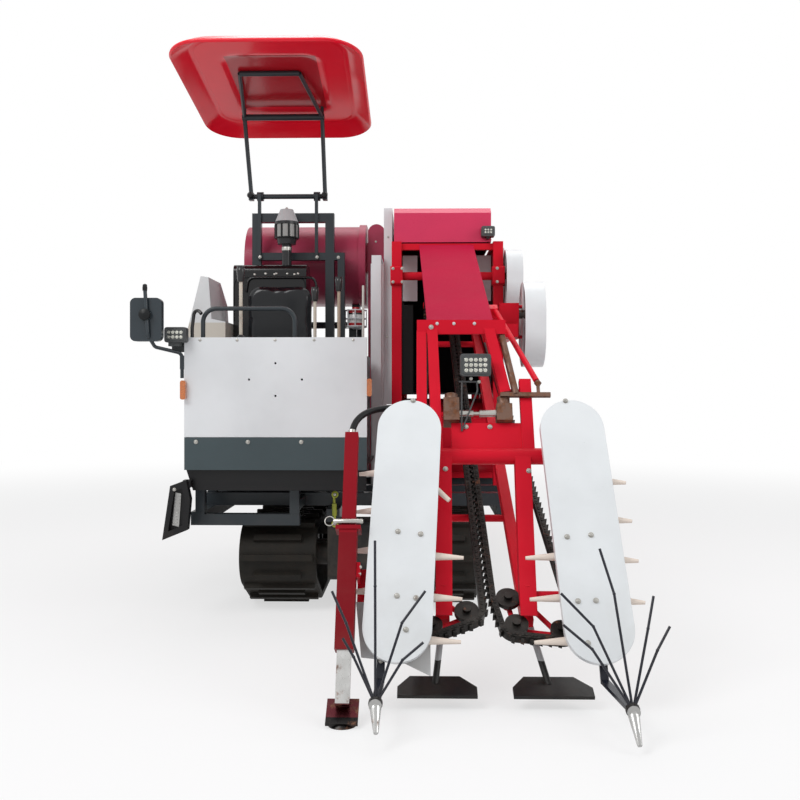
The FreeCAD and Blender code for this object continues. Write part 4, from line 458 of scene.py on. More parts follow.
VINYL = moulded("seat_vinyl", (0.004, 0.005, 0.007), gloss=0.20, cells=420.0, relief=0.00008, coat=0.35)
KNOB = moulded("lever_grip", (0.014, 0.014, 0.015), gloss=0.16, relief=0.00002, coat=0.5)
AMBER = lens("amber_lens", (0.80, 0.22, 0.04), transmission=0.25)

FINISHES = (
    (TRACK, "track_right track_left"),
    (WHEELS, "track_wheels"),
    (DARK, "undercarriage_frame drive_gearbox lift_barrel tipping_barrel picking_box"),
    (SLATE, "chassis_frame handrail roll_frame canopy_frame hopper_stand"),
    (BLACK, "platform_frame boarding_step"),
    (WHITE, "front_panel picking_panels drive_case"),
    (WHITE_COVER, "belt_guards row_covers"),
    (GREY_GREEN, "lower_panel"),
    (IRON, "engine_block front_pulley rear_pulley"),
    (HOOD_BLACK, "engine_cover"),
    (BEIGE, "radiator_cover"),
    (VINYL, "seat_cushion seat_back"),
    (SILVER, "air_precleaner"),
    (PLASTIC, "control_console"),
    (LEVERS, "control_levers"),
    (MIRROR_SHELL, "side_mirror"),
    (LAMP_GREY, "work_lamps header_lamp"),
    (AMBER, "marker_lamps"),
    (ROOF_RED_PAINTED_LIGHT, "canopy_roof"),
    (RED_DEEP, "hopper pod_elevator"),
    (STEEL, "lift_rod tipping_rod fan_rotor"),
    (RED, "picking_frame fan_housing sieve_box vine_chute header_frame"),
    (RED_HOOD, "top_hood"),
    (RED_COVER, "conveyor_cover"),
    (RED_DULL, "jack_tube"),
    (BROWN_IRON, "header_gearboxes"),
    (ZINC, "adjusting_rod"),
    (OILED, "clamp_chains chain_wheels"),
    (PALE, "row_guides"),
    (CREAM, "finger_chains"),
    (RODS, "row_dividers"),
    (SHOVELS, "digging_shovels"),
    (JACK_STEEL, "jack_leg"),
    (HOSE, "header_hoses"),
)
for finish, node_names in FINISHES:
    for node_name in node_names.split():
        NODES[node_name].data.materials.clear()
        NODES[node_name].data.materials.append(finish)


# ---------------------------------------------------------------- surfaces
def lattice(rows, columns, closed_rows=False, closed_columns=True):
    """Corner numbers of the four-sided faces of a grid of rows by columns."""
    row = np.arange(rows if closed_rows else rows - 1)
    column = np.arange(columns if closed_columns else columns - 1)
    row, column = (part.ravel() for part in np.meshgrid(row, column, indexing="ij"))
    across, below = (column + 1) % columns, (row + 1) % rows
    return np.stack([row * columns + column, row * columns + across, below * columns + across,
                     below * columns + column], -1)


def grid(points, closed_rows=False, closed_columns=True):
    """A shape (points, faces) from an array of rows by columns of points."""
    points = np.asarray(points, float)
    return points.reshape(-1, 3), lattice(points.shape[0], points.shape[1], closed_rows, closed_columns)


def basis(direction):
    """Two unit vectors square to each direction, as arrays."""
    way = np.atleast_2d(np.asarray(direction, float))
    way = way / np.linalg.norm(way, axis=-1, keepdims=True)
    seed = np.where(np.abs(way[:, 2:3]) < 0.9, np.array([[0.0, 0.0, 1.0]]), np.array([[0.0, 1.0, 0.0]]))
    side = np.cross(seed, way)
    side /= np.linalg.norm(side, axis=-1, keepdims=True)
    return side, np.cross(way, side), way


def full_turn(number):
    """Evenly spaced angles round a circle."""
    return np.arange(number) * 2.0 * np.pi / number


def turned(profile, start=ORIGIN, way=UP, sides=24):
    """A profile of (distance, radius) pairs turned about the line from start along way.

    Each point stands at its distance along the line and radius times (cos, sin) off it. A profile that
    ends away from the line is closed straight onto it.
    """
    profile = np.asarray(profile, float)
    first, last = (profile[[at]][profile[[at], 1] > 0] * (1.0, 0.0) for at in (0, -1))
    profile = np.concatenate([first, profile, last])
    side, up, axis = basis(way)
    angle = full_turn(sides)
    ring = np.cos(angle)[:, None] * side + np.sin(angle)[:, None] * up
    distance, radius = profile.T[:, :, None, None]
    return grid(np.asarray(start, float) + distance * axis[0] + radius * ring)


def blended(first, corner, last, steps):
    """Points at shares s of a quadratic blend: (1 - s)^2 first + 2 s (1 - s) corner + s^2 last."""
    share = np.linspace(0.0, 1.0, steps)[:, None]
    return (1 - share) ** 2 * first + 2 * share * (1 - share) * corner + share ** 2 * last


def rounded_way(corners, bend):
    """A polyline whose inner corners become arcs: a quadratic blend between the two legs."""
    corners = [np.asarray(corner, float) for corner in corners]
    parts = [corners[0][None]]
    for before, corner, after in zip(corners, corners[1:], corners[2:]):
        back, ahead = before - corner, after - corner
        reach = min(bend, 0.45 * np.linalg.norm(back), 0.45 * np.linalg.norm(ahead))
        first = corner + back / np.linalg.norm(back) * reach
        last = corner + ahead / np.linalg.norm(ahead) * reach
        parts.append(blended(first, corner, last, 6))
    parts.append(corners[-1][None])
    return np.concatenate(parts)


def tube(path, radius, sides=10, closed=False):
    """A round section carried along a path, its ends drawn in to a point.

    Each ring is radius times (cos, sin) in the plane square to the path's own direction there.
    """
    path = np.asarray(path, float)
    if closed:
        way = np.roll(path, -1, 0) - np.roll(path, 1, 0)
    else:
        way = np.gradient(path, axis=0)
    way /= np.linalg.norm(way, axis=1, keepdims=True)
    seed = np.cross(path[len(path) // 2] - path[0], path[-1] - path[0])
    seed = seed if np.linalg.norm(seed) > 1e-6 else np.cross(way[0], (0.31, 0.22, 0.92))
    side = np.cross(way, seed / np.linalg.norm(seed))
    side /= np.linalg.norm(side, axis=1, keepdims=True)
    up = np.cross(side, way)
    angle = full_turn(sides)
    ring = np.cos(angle)[None, :, None] * side[:, None] + np.sin(angle)[None, :, None] * up[:, None]
    rings = path[:, None] + radius * ring
    if closed:
        return grid(rings, closed_rows=True)
    first, last = np.repeat(path[:1, None], sides, 1), np.repeat(path[-1:, None], sides, 1)
    return grid(np.concatenate([first, rings, last]))


def round_box(width, height, radius, steps=5):
    """Outline of a rectangle with rounded corners: corner centres plus radius times (cos, sin)."""
    turn = np.linspace(0.0, np.pi / 2, steps)
    angle = (np.arange(4)[:, None] * np.pi / 2 + turn).ravel()
    sign_x = np.repeat([1.0, -1.0, -1.0, 1.0], steps)
    sign_y = np.repeat([1.0, 1.0, -1.0, -1.0], steps)
    return np.stack([sign_x * (width / 2 - radius) + radius * np.cos(angle),
                     sign_y * (height / 2 - radius) + radius * np.sin(angle)], -1)


def polygon(sides, radius, turn=0.0):
    """Outline of a regular polygon."""
    angle = full_turn(sides) + turn
    return radius * np.stack([np.cos(angle), np.sin(angle)], -1)


def plate(outline, thickness, bevel=0.001):
    """An outline made a plate from 0 to its thickness, its rims drawn in by the bevel.

    Each row is the outline scaled about its middle and set at a height, from one middle to the other.
    """
    outline = np.asarray(outline, float)
    centre = outline.mean(0)
    arm = outline - centre
    length = np.linalg.norm(arm, axis=1, keepdims=True)
    inner = centre + arm * (length - bevel) / length
    flat = [(centre + arm * 0.0, 0.0), (inner, 0.0), (outline, bevel), (outline, thickness - bevel),
            (inner, thickness), (centre + arm * 0.0, thickness)]
    return grid(np.stack([np.pad(ring, ((0, 0), (0, 1)), constant_values=height) for ring, height in flat]))


def placed(shape, places, ways, ups=None):
    """Copies of a shape drawn along +Z, each set at a place with its +Z along a way."""
    points, faces = shape
    places, ways = np.atleast_2d(places).astype(float), np.atleast_2d(ways).astype(float)
    ways = np.broadcast_to(ways, places.shape)
    if ups is None:
        side, up, way = basis(ways)
    else:
        way = ways / np.linalg.norm(ways, axis=1, keepdims=True)
        side = np.cross(np.broadcast_to(np.atleast_2d(ups), places.shape), way)
        side /= np.linalg.norm(side, axis=1, keepdims=True)
        up = np.cross(way, side)
    spread = (points[None, :, 0, None] * side[:, None] + points[None, :, 1, None] * up[:, None]
              + points[None, :, 2, None] * way[:, None])
    moved = (places[:, None] + spread).reshape(-1, 3)
    numbers = faces[None] + (np.arange(len(places)) * len(points))[:, None, None]
    return moved, numbers.reshape(-1, 4)


def piece(name, body, parts, smooth=38.0, replaces=()):
    """One object from (finish, shape) parts, closed, facing outwards and riding on its body."""
    finishes = list(dict.fromkeys(finish.name for finish, shape in parts))
    points = np.concatenate([shape[0] for finish, shape in parts])
    starts = np.cumsum([0] + [len(shape[0]) for finish, shape in parts[:-1]])
    faces = np.concatenate([shape[1] + start for (finish, shape), start in zip(parts, starts)])
    numbers = np.concatenate([np.full(len(shape[1]), finishes.index(finish.name)) for finish, shape in parts])
    mesh = bpy.data.meshes.new(name)
    mesh.from_pydata(points.tolist(), [], faces.tolist())
    mesh.polygons.foreach_set("material_index", numbers.astype(np.int32))
    for finish in finishes:
        mesh.materials.append(bpy.data.materials[finish])
    work = bmesh.new()
    work.from_mesh(mesh)
    bmesh.ops.remove_doubles(work, verts=work.verts, dist=0.00001)
    bmesh.ops.dissolve_degenerate(work, edges=work.edges, dist=0.00001)
    bmesh.ops.recalc_face_normals(work, faces=work.faces)
    work.to_mesh(mesh)
    work.free()
    mesh.polygons.foreach_set("use_smooth", np.ones(len(mesh.polygons), bool))
    mesh.set_sharp_from_angle(angle=math.radians(smooth))
    thing = bpy.data.objects.new(name, mesh)
    bpy.context.scene.collection.objects.link(thing)
    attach(thing, body)
    if replaces:
        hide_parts(*replaces)
    return thing


# ---------------------------------------------------------------- small parts
def together(*shapes):
    """Several shapes as one."""
    starts = np.cumsum([0] + [len(points) for points, faces in shapes[:-1]])
    return (np.concatenate([points for points, faces in shapes]),
            np.concatenate([faces + start for (points, faces), start in zip(shapes, starts)]))


def ring_points(centre, radius, number, normal="z"):
    """Points of a circle: centre plus radius times (cos, sin) in the plane square to an axis."""
    angle = full_turn(number)
    flat = radius * np.cos(angle), radius * np.sin(angle), np.zeros(number)
    order = {"x": (2, 0, 1), "y": (0, 2, 1), "z": (0, 1, 2)}[normal]
    return np.asarray(centre, float) + np.stack([flat[axis] for axis in order], -1)


def hex_bolt(size):
    """A washer, a six-sided head with a chamfered top, and the bolt's end."""
    washer = turned([(0.0, 1.12 * size), (0.22 * size, 1.08 * size)], sides=16)
    head_points, head_faces = plate(polygon(6, 0.86 * size, 0.3), 0.62 * size, 0.09 * size)
    end = turned([(0.8 * size, 0.44 * size), (1.02 * size, 0.40 * size), (1.08 * size, 0.0)], sides=10)
    return together(washer, (head_points + (0.0, 0.0, 0.2 * size), head_faces), end)


def dome_screw(size):
    """A button-headed screw: a low dome with a dimple."""
    profile = [(0.0, 1.0), (0.22, 0.96), (0.46, 0.66), (0.52, 0.36), (0.30, 0.30)]
    return turned(size * np.array(profile), sides=16)


def struck(template, node, starts, way):
    """Copies of a template standing where lines from the start points along `way` first meet a node."""
    if node not in FACE_TREES:
        mesh = NODES[node].data
        FACE_TREES[node] = BVHTree.FromPolygons([vertex.co for vertex in mesh.vertices],
                                                [tuple(face.vertices) for face in mesh.polygons])
    found = [FACE_TREES[node].ray_cast(Vector(start), Vector(way)) for start in np.asarray(starts, float)]
    places, facings, _, _ = zip(*(hit for hit in found if hit[0] is not None))
    return placed(template, np.array(places), np.array(facings))


def on_front(template, node, spots):
    """Copies of a template on a node's front face at (x, z) spots."""
    return struck(template, node, [(x, -OUTSIDE, z) for x, z in spots], BACK)


def on_side(template, node, spots, side=1.0):
    """Copies of a template on a node's crop side (side 1) or its other side (side -1) at (y, z) spots."""
    return struck(template, node, [(OUTSIDE * side, y, z) for y, z in spots], (-side, 0.0, 0.0))


def around(low, high, columns, rows):
    """Points round the edge of a rectangle: the columns along its long sides, the rows up its short ones."""
    across, up = np.linspace(low[0], high[0], columns), np.linspace(low[1], high[1], rows)[1:-1]
    ends = [np.stack([across, np.full(columns, z)], 1) for z in (low[1], high[1])]
    return np.concatenate(ends + [np.stack([np.full(len(up), y), up], 1) for y in (low[0], high[0])])


FACE_TREES = {}
OUTSIDE = 4.0                                       # distance from the middle at which a line starts
M8, M10, M12 = (hex_bolt(size) for size in (0.0058, 0.0072, 0.0086))
SCREW = dome_screw(0.0066)
ROW_OUT = on_row(0, 0, 1) - on_row(0, 0, 0)         # way off the row cases' incline
CLAMP_OUT = on_clamp(0, 0, 1) - on_clamp(0, 0, 0)   # way off the clamp chains' incline


# ---------------------------------------------------------------- bolts and screws
piece("panel_screws", "chassis", [
    (ZINC, on_front(SCREW, "front_panel", [(x, corners("front_panel")[1][2] - 0.012)
                                           for x in (-0.72, -0.556, -0.388, -0.216, -0.044)])),
    (ZINC, on_front(M12, "lower_panel", [(x, 0.799) for x in (-0.738, -0.508, -0.273, -0.040)]))])
bearing_spots = [(x, z) for x in (0.113, 0.160, 0.640, 0.692) for z in (1.572, 1.640)]
piece("frame_bolts", "chassis", [
    (ZINC, on_front(M12, "roll_frame", [(-0.660, 1.778), (-0.335, 1.777), (-0.215, 1.777)])),
    (ZINC, on_front(M10, "picking_frame", bearing_spots)),
    (ZINC, on_front(M10, "boarding_step", [(-0.822, 0.594)])),
    (ZINC, on_front(M8, "picking_panels", [(0.078, 1.30), (0.084, 1.82)]))])

cover_spots = [(0.176, 0.558), (0.252, 0.550), (0.175, 0.364), (0.237, 0.358), (0.205, 0.267), (0.225, 0.994),
               (0.741, 0.543), (0.821, 0.549), (0.761, 0.351), (0.819, 0.353), (0.782, 0.232), (0.771, 0.993)]
frame_spots = [(0.341, 0.750), (0.638, 0.744), (0.419, 0.896), (0.507, 0.896), (0.293, 1.274)]
piece("header_bolts", "header", [
    (ZINC, on_front(M12, "row_covers", cover_spots)),
    (ZINC, on_front(M12, "header_frame", frame_spots)),
    (WHITE, on_front(M8, "header_frame", [(x, 1.2875) for x in (0.316, 0.381, 0.46)]))])

# the jack's cross pin with its ring
PIN_X, PIN_ALONG, PIN_RISE = 0.010, 0.652, 0.034
pin_turn = full_turn(24)
pin_ring = on_row(PIN_X - 0.062 + 0.016 * np.cos(pin_turn), PIN_ALONG + 0.016 * np.sin(pin_turn), PIN_RISE)
piece("jack_bolts", "header", [
    (ZINC, placed(M8, on_row(np.array([0.052, 0.050]), np.array([0.505, 0.482])), ROW_OUT)),
    (ZINC, turned([(-0.05, 0.006), (-0.047, 0.008), (0.047, 0.008), (0.05, 0.006)],
                  on_row(PIN_X, PIN_ALONG, PIN_RISE), CROP, 14)),
    (ZINC, tube(pin_ring, 0.0018, 8, True))])


# ---------------------------------------------------------------- canopy
ROOF_SIZE = (0.960, 1.150)
ROOF_MIDDLE = (-0.510, 0.020, 2.607)
ROOF_TILT = math.radians(8.5)
ROOF_WALL = 0.0075


def canopy_shell():
    """The moulded roof, drawn from the middle to the rim at share t.

    Up to t = 1 the outline is an inner rounded rectangle times t; past it the outline goes over to the
    outer one while the height falls by 0.35 u + 0.65 u^2 of the drop, u = t - 1. A logistic step at
    t = 0.66 raises the middle panel, the underside is the same surface a wall lower, and a bead runs
    round the lip.
    """
    flare, drop, lip, panel_rise = 0.105, 0.075, 0.004, 0.011
    outline = round_box(ROOF_SIZE[0], ROOF_SIZE[1], 0.190, 14)
    inner = round_box(ROOF_SIZE[0] - 2 * flare, ROOF_SIZE[1] - 2 * flare, 0.135, 14)
    share = np.concatenate([np.linspace(0.0, 1.0, 26), 1.0 + np.linspace(0.04, 1.0, 18)])
    fall = np.clip(share - 1.0, 0.0, 1.0)
    flat = np.clip(share, 0.0, 1.0)[:, None, None] * inner + fall[:, None, None] * (outline - inner)
    panel = 1.0 / (1.0 + np.exp((share - 0.66) * 70.0))
    shoulder = np.where(share < 1.0, 1.0 - panel, np.clip(1.0 - fall * 4, 0, 1))
    height = drop - (drop - lip) * (0.35 * fall + 0.65 * fall * fall) - panel_rise * shoulder - 0.003
    shrink = np.where(share > 1.0, 0.985, 1.0)[:, None, None]

    def layer(plan, level):
        return np.concatenate([plan, np.repeat(level[:, None, None], len(outline), 1)], 2)

    rows = np.concatenate([layer(flat, height), layer(flat * shrink, height - ROOF_WALL)[::-1]])
    rows[[0, -1], :, :2] = 0.0
    bead = tube(np.concatenate([outline * 0.988, np.full((len(outline), 1), 0.006)], 1), 0.0065, 10, True)
    points, faces = together(grid(rows), bead)
    y, z = points[:, 1].copy(), points[:, 2].copy()
    points[:, 1] = y * math.cos(ROOF_TILT) + z * math.sin(ROOF_TILT)
    points[:, 2] = -y * math.sin(ROOF_TILT) + z * math.cos(ROOF_TILT)
    return points + ROOF_MIDDLE, faces


piece("canopy_shell", "canopy", [(ROOF_RED_PAINTED_LIGHT, canopy_shell())], smooth=60.0,
      replaces=("canopy_roof",))
clamp_knob = turned([(0.0, 0.006), (0.012, 0.006), (0.014, 0.016), (0.022, 0.018), (0.030, 0.014),
                     (0.032, 0.0)], sides=14)
CLAMP_X = (-0.716, -0.293)
piece("canopy_knobs", "canopy", [
    (PLASTIC, placed(clamp_knob, [(x, 0.356, 2.130) for x in CLAMP_X], FRONT)),
    (ZINC, placed(M8, [(x, 0.380, 2.152) for x in CLAMP_X], UP))])


# ---------------------------------------------------------------- seat
PAD_SWELL = 0.016       # how far a pad's cover may stand out of the shrunk solid
PAD_CELL = 0.0065       # size of the remeshed pad's faces
PAD_PRESSURE = 4.0
CLOTH_FRAMES = 20


def point_array(mesh):
    """A mesh's points as rows."""
    values = np.empty(len(mesh.vertices) * 3)
    mesh.vertices.foreach_get("co", values)
    return values.reshape(-1, 3)


def evaluated_copy(thing):
    """The object's mesh with its modifiers applied; the modifiers are then taken off."""
    graph = bpy.context.evaluated_depsgraph_get()
    mesh = bpy.data.meshes.new_from_object(thing.evaluated_get(graph))
    thing.modifiers.clear()
    return mesh


def blown_up(thing, rest):
    """Points of the pad after its cover is blown up as cloth, none further than PAD_SWELL from rest."""
    settings = thing.modifiers.new("cloth", "CLOTH").settings
    settings.use_pressure = True
    settings.uniform_pressure_force = PAD_PRESSURE
    settings.effector_weights.gravity = 0.0
    settings.quality = 4
    for number in range(1, CLOTH_FRAMES + 1):
        bpy.context.scene.frame_set(number)
    shift = point_array(evaluated_copy(thing)) - rest
    length = np.linalg.norm(shift, axis=1, keepdims=True)
    bpy.context.scene.frame_set(1)
    return rest + shift * np.minimum(1.0, PAD_SWELL / np.maximum(length, 1e-9))


def padded_copy(node, name):
    """A node's solid made a little smaller, remeshed fine and blown up."""
    thing = bpy.data.objects.new(name, NODES[node].data.copy())
    bpy.context.scene.collection.objects.link(thing)
    work = bmesh.new()
    work.from_mesh(thing.data)
    bmesh.ops.remove_doubles(work, verts=work.verts, dist=0.0001)
    bmesh.ops.recalc_face_normals(work, faces=work.faces)
    low, high = corners(node)
    shrunk = (high - low - 1.8 * PAD_SWELL) / (high - low)
    about_middle = Matrix.Translation(-Vector((low + high) / 2))
    for scale in np.where(np.eye(3, dtype=bool), shrunk, 1.0):
        bmesh.ops.scale(work, vec=scale.tolist(), verts=work.verts, space=about_middle)
    work.to_mesh(thing.data)
    work.free()
    thing.data.materials.clear()
    remesh = thing.modifiers.new("remesh", "REMESH")
    remesh.mode = "VOXEL"
    remesh.voxel_size = PAD_CELL
    mesh = evaluated_copy(thing)
    thing.data = mesh
    rest = point_array(mesh)
    rest = blown_up(thing, rest)
    mesh.vertices.foreach_set("co", rest.ravel())
    mesh.materials.append(VINYL)
    mesh.polygons.foreach_set("use_smooth", np.ones(len(mesh.polygons), bool))
    mesh.update()
    ease = thing.modifiers.new("ease", "SMOOTH")
    ease.factor = 0.5
    ease.iterations = 14
    smooth = thing.modifiers.new("subdivision", "SUBSURF")
    smooth.levels = smooth.render_levels = 1
    return thing


for node in ("seat_cushion", "seat_back"):
    pad = padded_copy(node, node + "_pad")
    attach(pad, "chassis")
    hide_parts(node)
back_left, back_right = (corner[0] for corner in corners("seat_back"))
hoop = rounded_way([(back_left + 0.004, 0.150, 1.560), (back_left + 0.016, 0.152, 1.640),
                    (back_right - 0.016, 0.152, 1.640), (back_right - 0.004, 0.150, 1.560)], 0.04)
piece("seat_trim", "chassis", [
    (HOOD_BLACK, tube(hoop, 0.007)),
    (ZINC, placed(SCREW, [(x, 0.1585, 1.662) for x in np.linspace(-0.600, -0.420, 4)], FRONT))])


# ---------------------------------------------------------------- hood trim and air intake
TRIM_Z = 1.642
trim_line = [(x, 0.1585, z) for x, z in ((-0.774, 1.40), (-0.774, TRIM_Z), (-0.379, TRIM_Z), (-0.379, 1.40))]
piece("hood_trim", "chassis", [
    (PLASTIC, tube(rounded_way(trim_line, 0.05), 0.004)),
    (ZINC, placed(SCREW, [(x, 0.1600, TRIM_Z + 0.016) for x in (-0.66, -0.55, -0.44)], FRONT))])

INTAKE_X, INTAKE_Y = -0.495, 0.250
BOWL_LOW, BOWL_HIGH = 1.870, 1.944
rims = [turned([(0.0, 0.0655), (0.004, 0.067), (0.008, 0.0655)], (INTAKE_X, INTAKE_Y, z), UP, 36)
        for z in (1.866, BOWL_HIGH)]
vanes = [tube([(x, y, BOWL_LOW), (x, y, BOWL_HIGH)], 0.0055, 8)
         for x, y, _ in ring_points((INTAKE_X, INTAKE_Y, 0.0), 0.0645, 10)]
cap_nut = turned([(0.0, 0.010), (0.006, 0.010), (0.012, 0.006), (0.016, 0.0)],
                 (INTAKE_X, INTAKE_Y, 2.0296), UP, 16)
neck_clip = turned([(0.0, 0.029), (0.010, 0.030), (0.020, 0.029)], (INTAKE_X, INTAKE_Y, 1.800), UP, 28)
piece("precleaner_ribs", "chassis", [(PLASTIC, together(*rims, *vanes)), (ZINC, cap_nut), (ZINC, neck_clip)])


# ---------------------------------------------------------------- controls
BOOT = [(0.0, 0.030), (0.006, 0.030), (0.012, 0.022), (0.018, 0.024), (0.024, 0.017), (0.030, 0.019),
        (0.040, 0.011), (0.044, 0.0)]
GRIP = [(0.0, 0.013), (0.010, 0.0165), (0.030, 0.0175), (0.048, 0.0195), (0.060, 0.0185), (0.068, 0.012),
        (0.071, 0.0)]
STICKS = ((-0.556, -0.790, 1.235, 1.520), (-0.268, -0.375, 1.190, 1.468),
          (-0.150, -0.375, 1.190, 1.518))   # x, y, foot, top
boots = [turned(BOOT, (x, y, foot), UP, 20) for x, y, foot, top in STICKS]
grips = [turned(GRIP, (x, y, top - 0.006), UP, 24) for x, y, foot, top in STICKS]
piece("lever_grips", "chassis", [(PLASTIC, together(*boots)), (KNOB, together(*grips))])


# ---------------------------------------------------------------- lamps and mirror
def lamp_face(centre, width, height, columns, rows):
    """A bezel, a clear cover and a field of small domed reflectors, seen from the front."""
    centre = np.array(centre)
    bezel = placed(plate(round_box(width, height, 0.012), 0.005, 0.0018), [centre], FRONT, UP)
    cover = placed(plate(round_box(width - 0.016, height - 0.016, 0.007), 0.0030, 0.001),
                   [centre + (0, -0.0045, 0)], FRONT, UP)
    x, z = np.meshgrid((np.arange(columns) - (columns - 1) / 2) * (width - 0.026) / columns,
                       (np.arange(rows) - (rows - 1) / 2) * (height - 0.026) / rows)
    spots = centre + np.stack([x.ravel(), np.full(x.size, -0.0070), z.ravel()], 1)
    size = min((width - 0.03) / columns, (height - 0.03) / rows) * 0.46
    cup = turned([(0.0, size), (0.0015, size * 0.9), (0.0012, size * 0.4), (0.0024, size * 0.34),
                  (0.0030, 0.0)], sides=12)
    return [(LAMP_GREY, bezel), (LAMP_FRONT, cover), (REFLECTOR, placed(cup, spots, FRONT))]


def fins(left, right, low, high, back, number):
    """Cooling fins standing behind a lamp: thin upright plates spread across it."""
    fin = plate(round_box(0.012, (high - low) * 0.8, 0.003, 3), 0.0025, 0.0006)
    places = [(x, back + 0.006, (low + high) / 2) for x in np.linspace(left + 0.008, right - 0.008, number)]
    return placed(fin, places, CROP, UP)


piece("work_lamp_faces", "chassis", lamp_face((-0.818, -0.925, 1.2695), 0.096, 0.067, 4, 2)
      + lamp_face((0.594, -0.250, 1.826), 0.068, 0.052, 3, 2)
      + [(LAMP_GREY, fins(-0.866, -0.770, 1.236, 1.303, -0.904, 9))])
piece("header_lamp_face", "header", lamp_face((0.457, -1.515, 1.124), 0.114, 0.084, 5, 3) + [
    (LAMP_GREY, fins(0.400, 0.514, 1.082, 1.166, -1.470, 11)),
    (ZINC, placed(M8, [(0.440, -1.503, 1.0735), (0.470, -1.503, 1.062)], FRONT))])

MIRROR_X, MIRROR_Z = -0.922, 1.330
rim = round_box(0.130, 0.180, 0.022, 8)
rim_line = np.stack([MIRROR_X + rim[:, 0], np.full(len(rim), -0.9805), MIRROR_Z + rim[:, 1]], 1)
piece("mirror_details", "chassis", [
    (MIRROR_GLASS, placed(plate(round_box(0.122, 0.172, 0.018), 0.003, 0.001),
                          [(MIRROR_X, -0.9785, MIRROR_Z)], BACK, UP)),
    (MIRROR_SHELL, tube(rim_line, 0.0035, 8, True)),
    (PLASTIC, turned([(0.0, 0.022), (0.006, 0.026), (0.016, 0.024), (0.022, 0.012), (0.024, 0.0)],
                     (MIRROR_X, -1.024, MIRROR_Z + 0.020), FRONT, 24)),
    (PLASTIC, turned([(0.0, 0.0100), (0.012, 0.0105), (0.026, 0.009), (0.030, 0.0)],
                     (MIRROR_X, -1.026, 1.452), UP, 16))])


# ---------------------------------------------------------------- canister in its cage, beside the hopper
CAN_X, CAN_Y, CAGE_RADIUS, WIRE = -0.118, 0.400, 0.060, 0.0032
cage = [tube(ring_points((CAN_X, CAN_Y, z), CAGE_RADIUS, 48), WIRE, 8, True) for z in (1.386, 1.430, 1.478)]
cage += [tube([(x, y, 1.380), (x, y, 1.482)], WIRE, 8)
         for x, y, _ in ring_points((CAN_X, CAN_Y, 0), CAGE_RADIUS, 8)]
cage.append(placed(plate(polygon(28, CAGE_RADIUS), 0.004, 0.001), [(CAN_X, CAN_Y, 1.378)], UP))
cage.append(placed(plate(round_box(0.050, 0.020, 0.004, 3), 0.030, 0.002), [(CAN_X, 0.452, 1.384)], BACK, UP))
piece("can_cage", "chassis", [(WHITE, together(*cage))])
can = turned([(0.0, 0.044), (0.004, 0.050), (0.085, 0.050), (0.095, 0.044), (0.100, 0.022),
              (0.112, 0.020)], (CAN_X, CAN_Y, 1.384), UP, 32)
piece("caged_can", "chassis", [(CAN_RED, can)])


# ---------------------------------------------------------------- clamp chains
CHAIN_PITCH = 0.0300
TOOTH_OUT, LINK_OUT = 0.0195, 0.010     # how far teeth and links stand out of the run round the wheels
LINK_RISE, PIN_HEAD = 0.0168, 0.0020    # height of the links off the incline, and of the pins on them
# wheels and guides the chains run round: (x, distance up the incline, radius)
RIGHT_HAND_RUN = [(0.290, 0.003, 0.036), (0.407, 0.062, 0.042), (0.340, 2.120, 0.038)]
LEFT_HAND_RUN = [(0.715, -0.012, 0.036), (0.462, 2.120, 0.038), (0.550, 0.120, 0.042), (0.570, 0.008, 0.040)]
LOOK_AHEAD = 0.004                      # step along the run that gives its direction


def belt_line(circles, pitch):
    """Points a pitch apart on the tight loop round circles, with the way along and the way out there.

    For each direction the furthest circle gives centre + radius * direction; the points so found are
    then spread evenly along their length.
    """
    circles = np.array(circles)
    angle = np.linspace(0.0, 2.0 * np.pi, 1440, endpoint=False)
    out = np.stack([np.cos(angle), np.sin(angle)], -1)
    pick = np.argmax(out @ circles[:, :2].T + circles[:, 2], axis=1)
    edge = circles[pick, :2] + circles[pick, 2:3] * out
    loop = np.concatenate([edge, edge[:1]])
    length = np.concatenate([[0.0], np.cumsum(np.linalg.norm(np.diff(loop, axis=0), axis=1))])
    whole, number = length[-1], int(round(length[-1] / pitch))
    at = np.arange(number) * whole / number

    def along(distance):
        return np.stack([np.interp(distance, length, line) for line in loop.T], -1)

    way = along((at + LOOK_AHEAD) % whole) - along(at)
    way /= np.linalg.norm(way, axis=1, keepdims=True)
    return along(at), way, np.stack([way[:, 1], -way[:, 0]], -1)


TOOTH = [(-0.011, 0.0), (0.011, 0.0), (0.007, 0.011), (0.0, 0.013), (-0.007, 0.011)]
tooth_points, tooth_faces = plate(TOOTH, 0.026, 0.001)
tooth = tooth_points - (0.0, 0.0, 0.013), tooth_faces
link = plate(round_box(0.026, 0.011, 0.005, 4), 0.0022, 0.0005)
pin = turned([(0.0, 0.0040), (0.0018, 0.0036), (0.0024, 0.0)], sides=8)
for side, run in (("right_hand", RIGHT_HAND_RUN), ("left_hand", LEFT_HAND_RUN)):
    spot, way, out = belt_line(run, CHAIN_PITCH)
    outward = on_clamp(out[:, 0], out[:, 1]) - on_clamp(0, 0)
    along = on_clamp(way[:, 0], way[:, 1]) - on_clamp(0, 0)
    crest, centre = spot + TOOTH_OUT * out, spot + LINK_OUT * out
    face = on_clamp(centre[:, 0], centre[:, 1], LINK_RISE)
    shapes = [placed(tooth, on_clamp(crest[:, 0], crest[:, 1]), CLAMP_OUT, -np.cross(CLAMP_OUT, outward)),
              placed(link, face, CLAMP_OUT, np.cross(CLAMP_OUT, along)),
              placed(pin, face + PIN_HEAD * CLAMP_OUT, CLAMP_OUT)]
    piece("clamp_chain_links_" + side, "header", [(OILED, together(*shapes))])


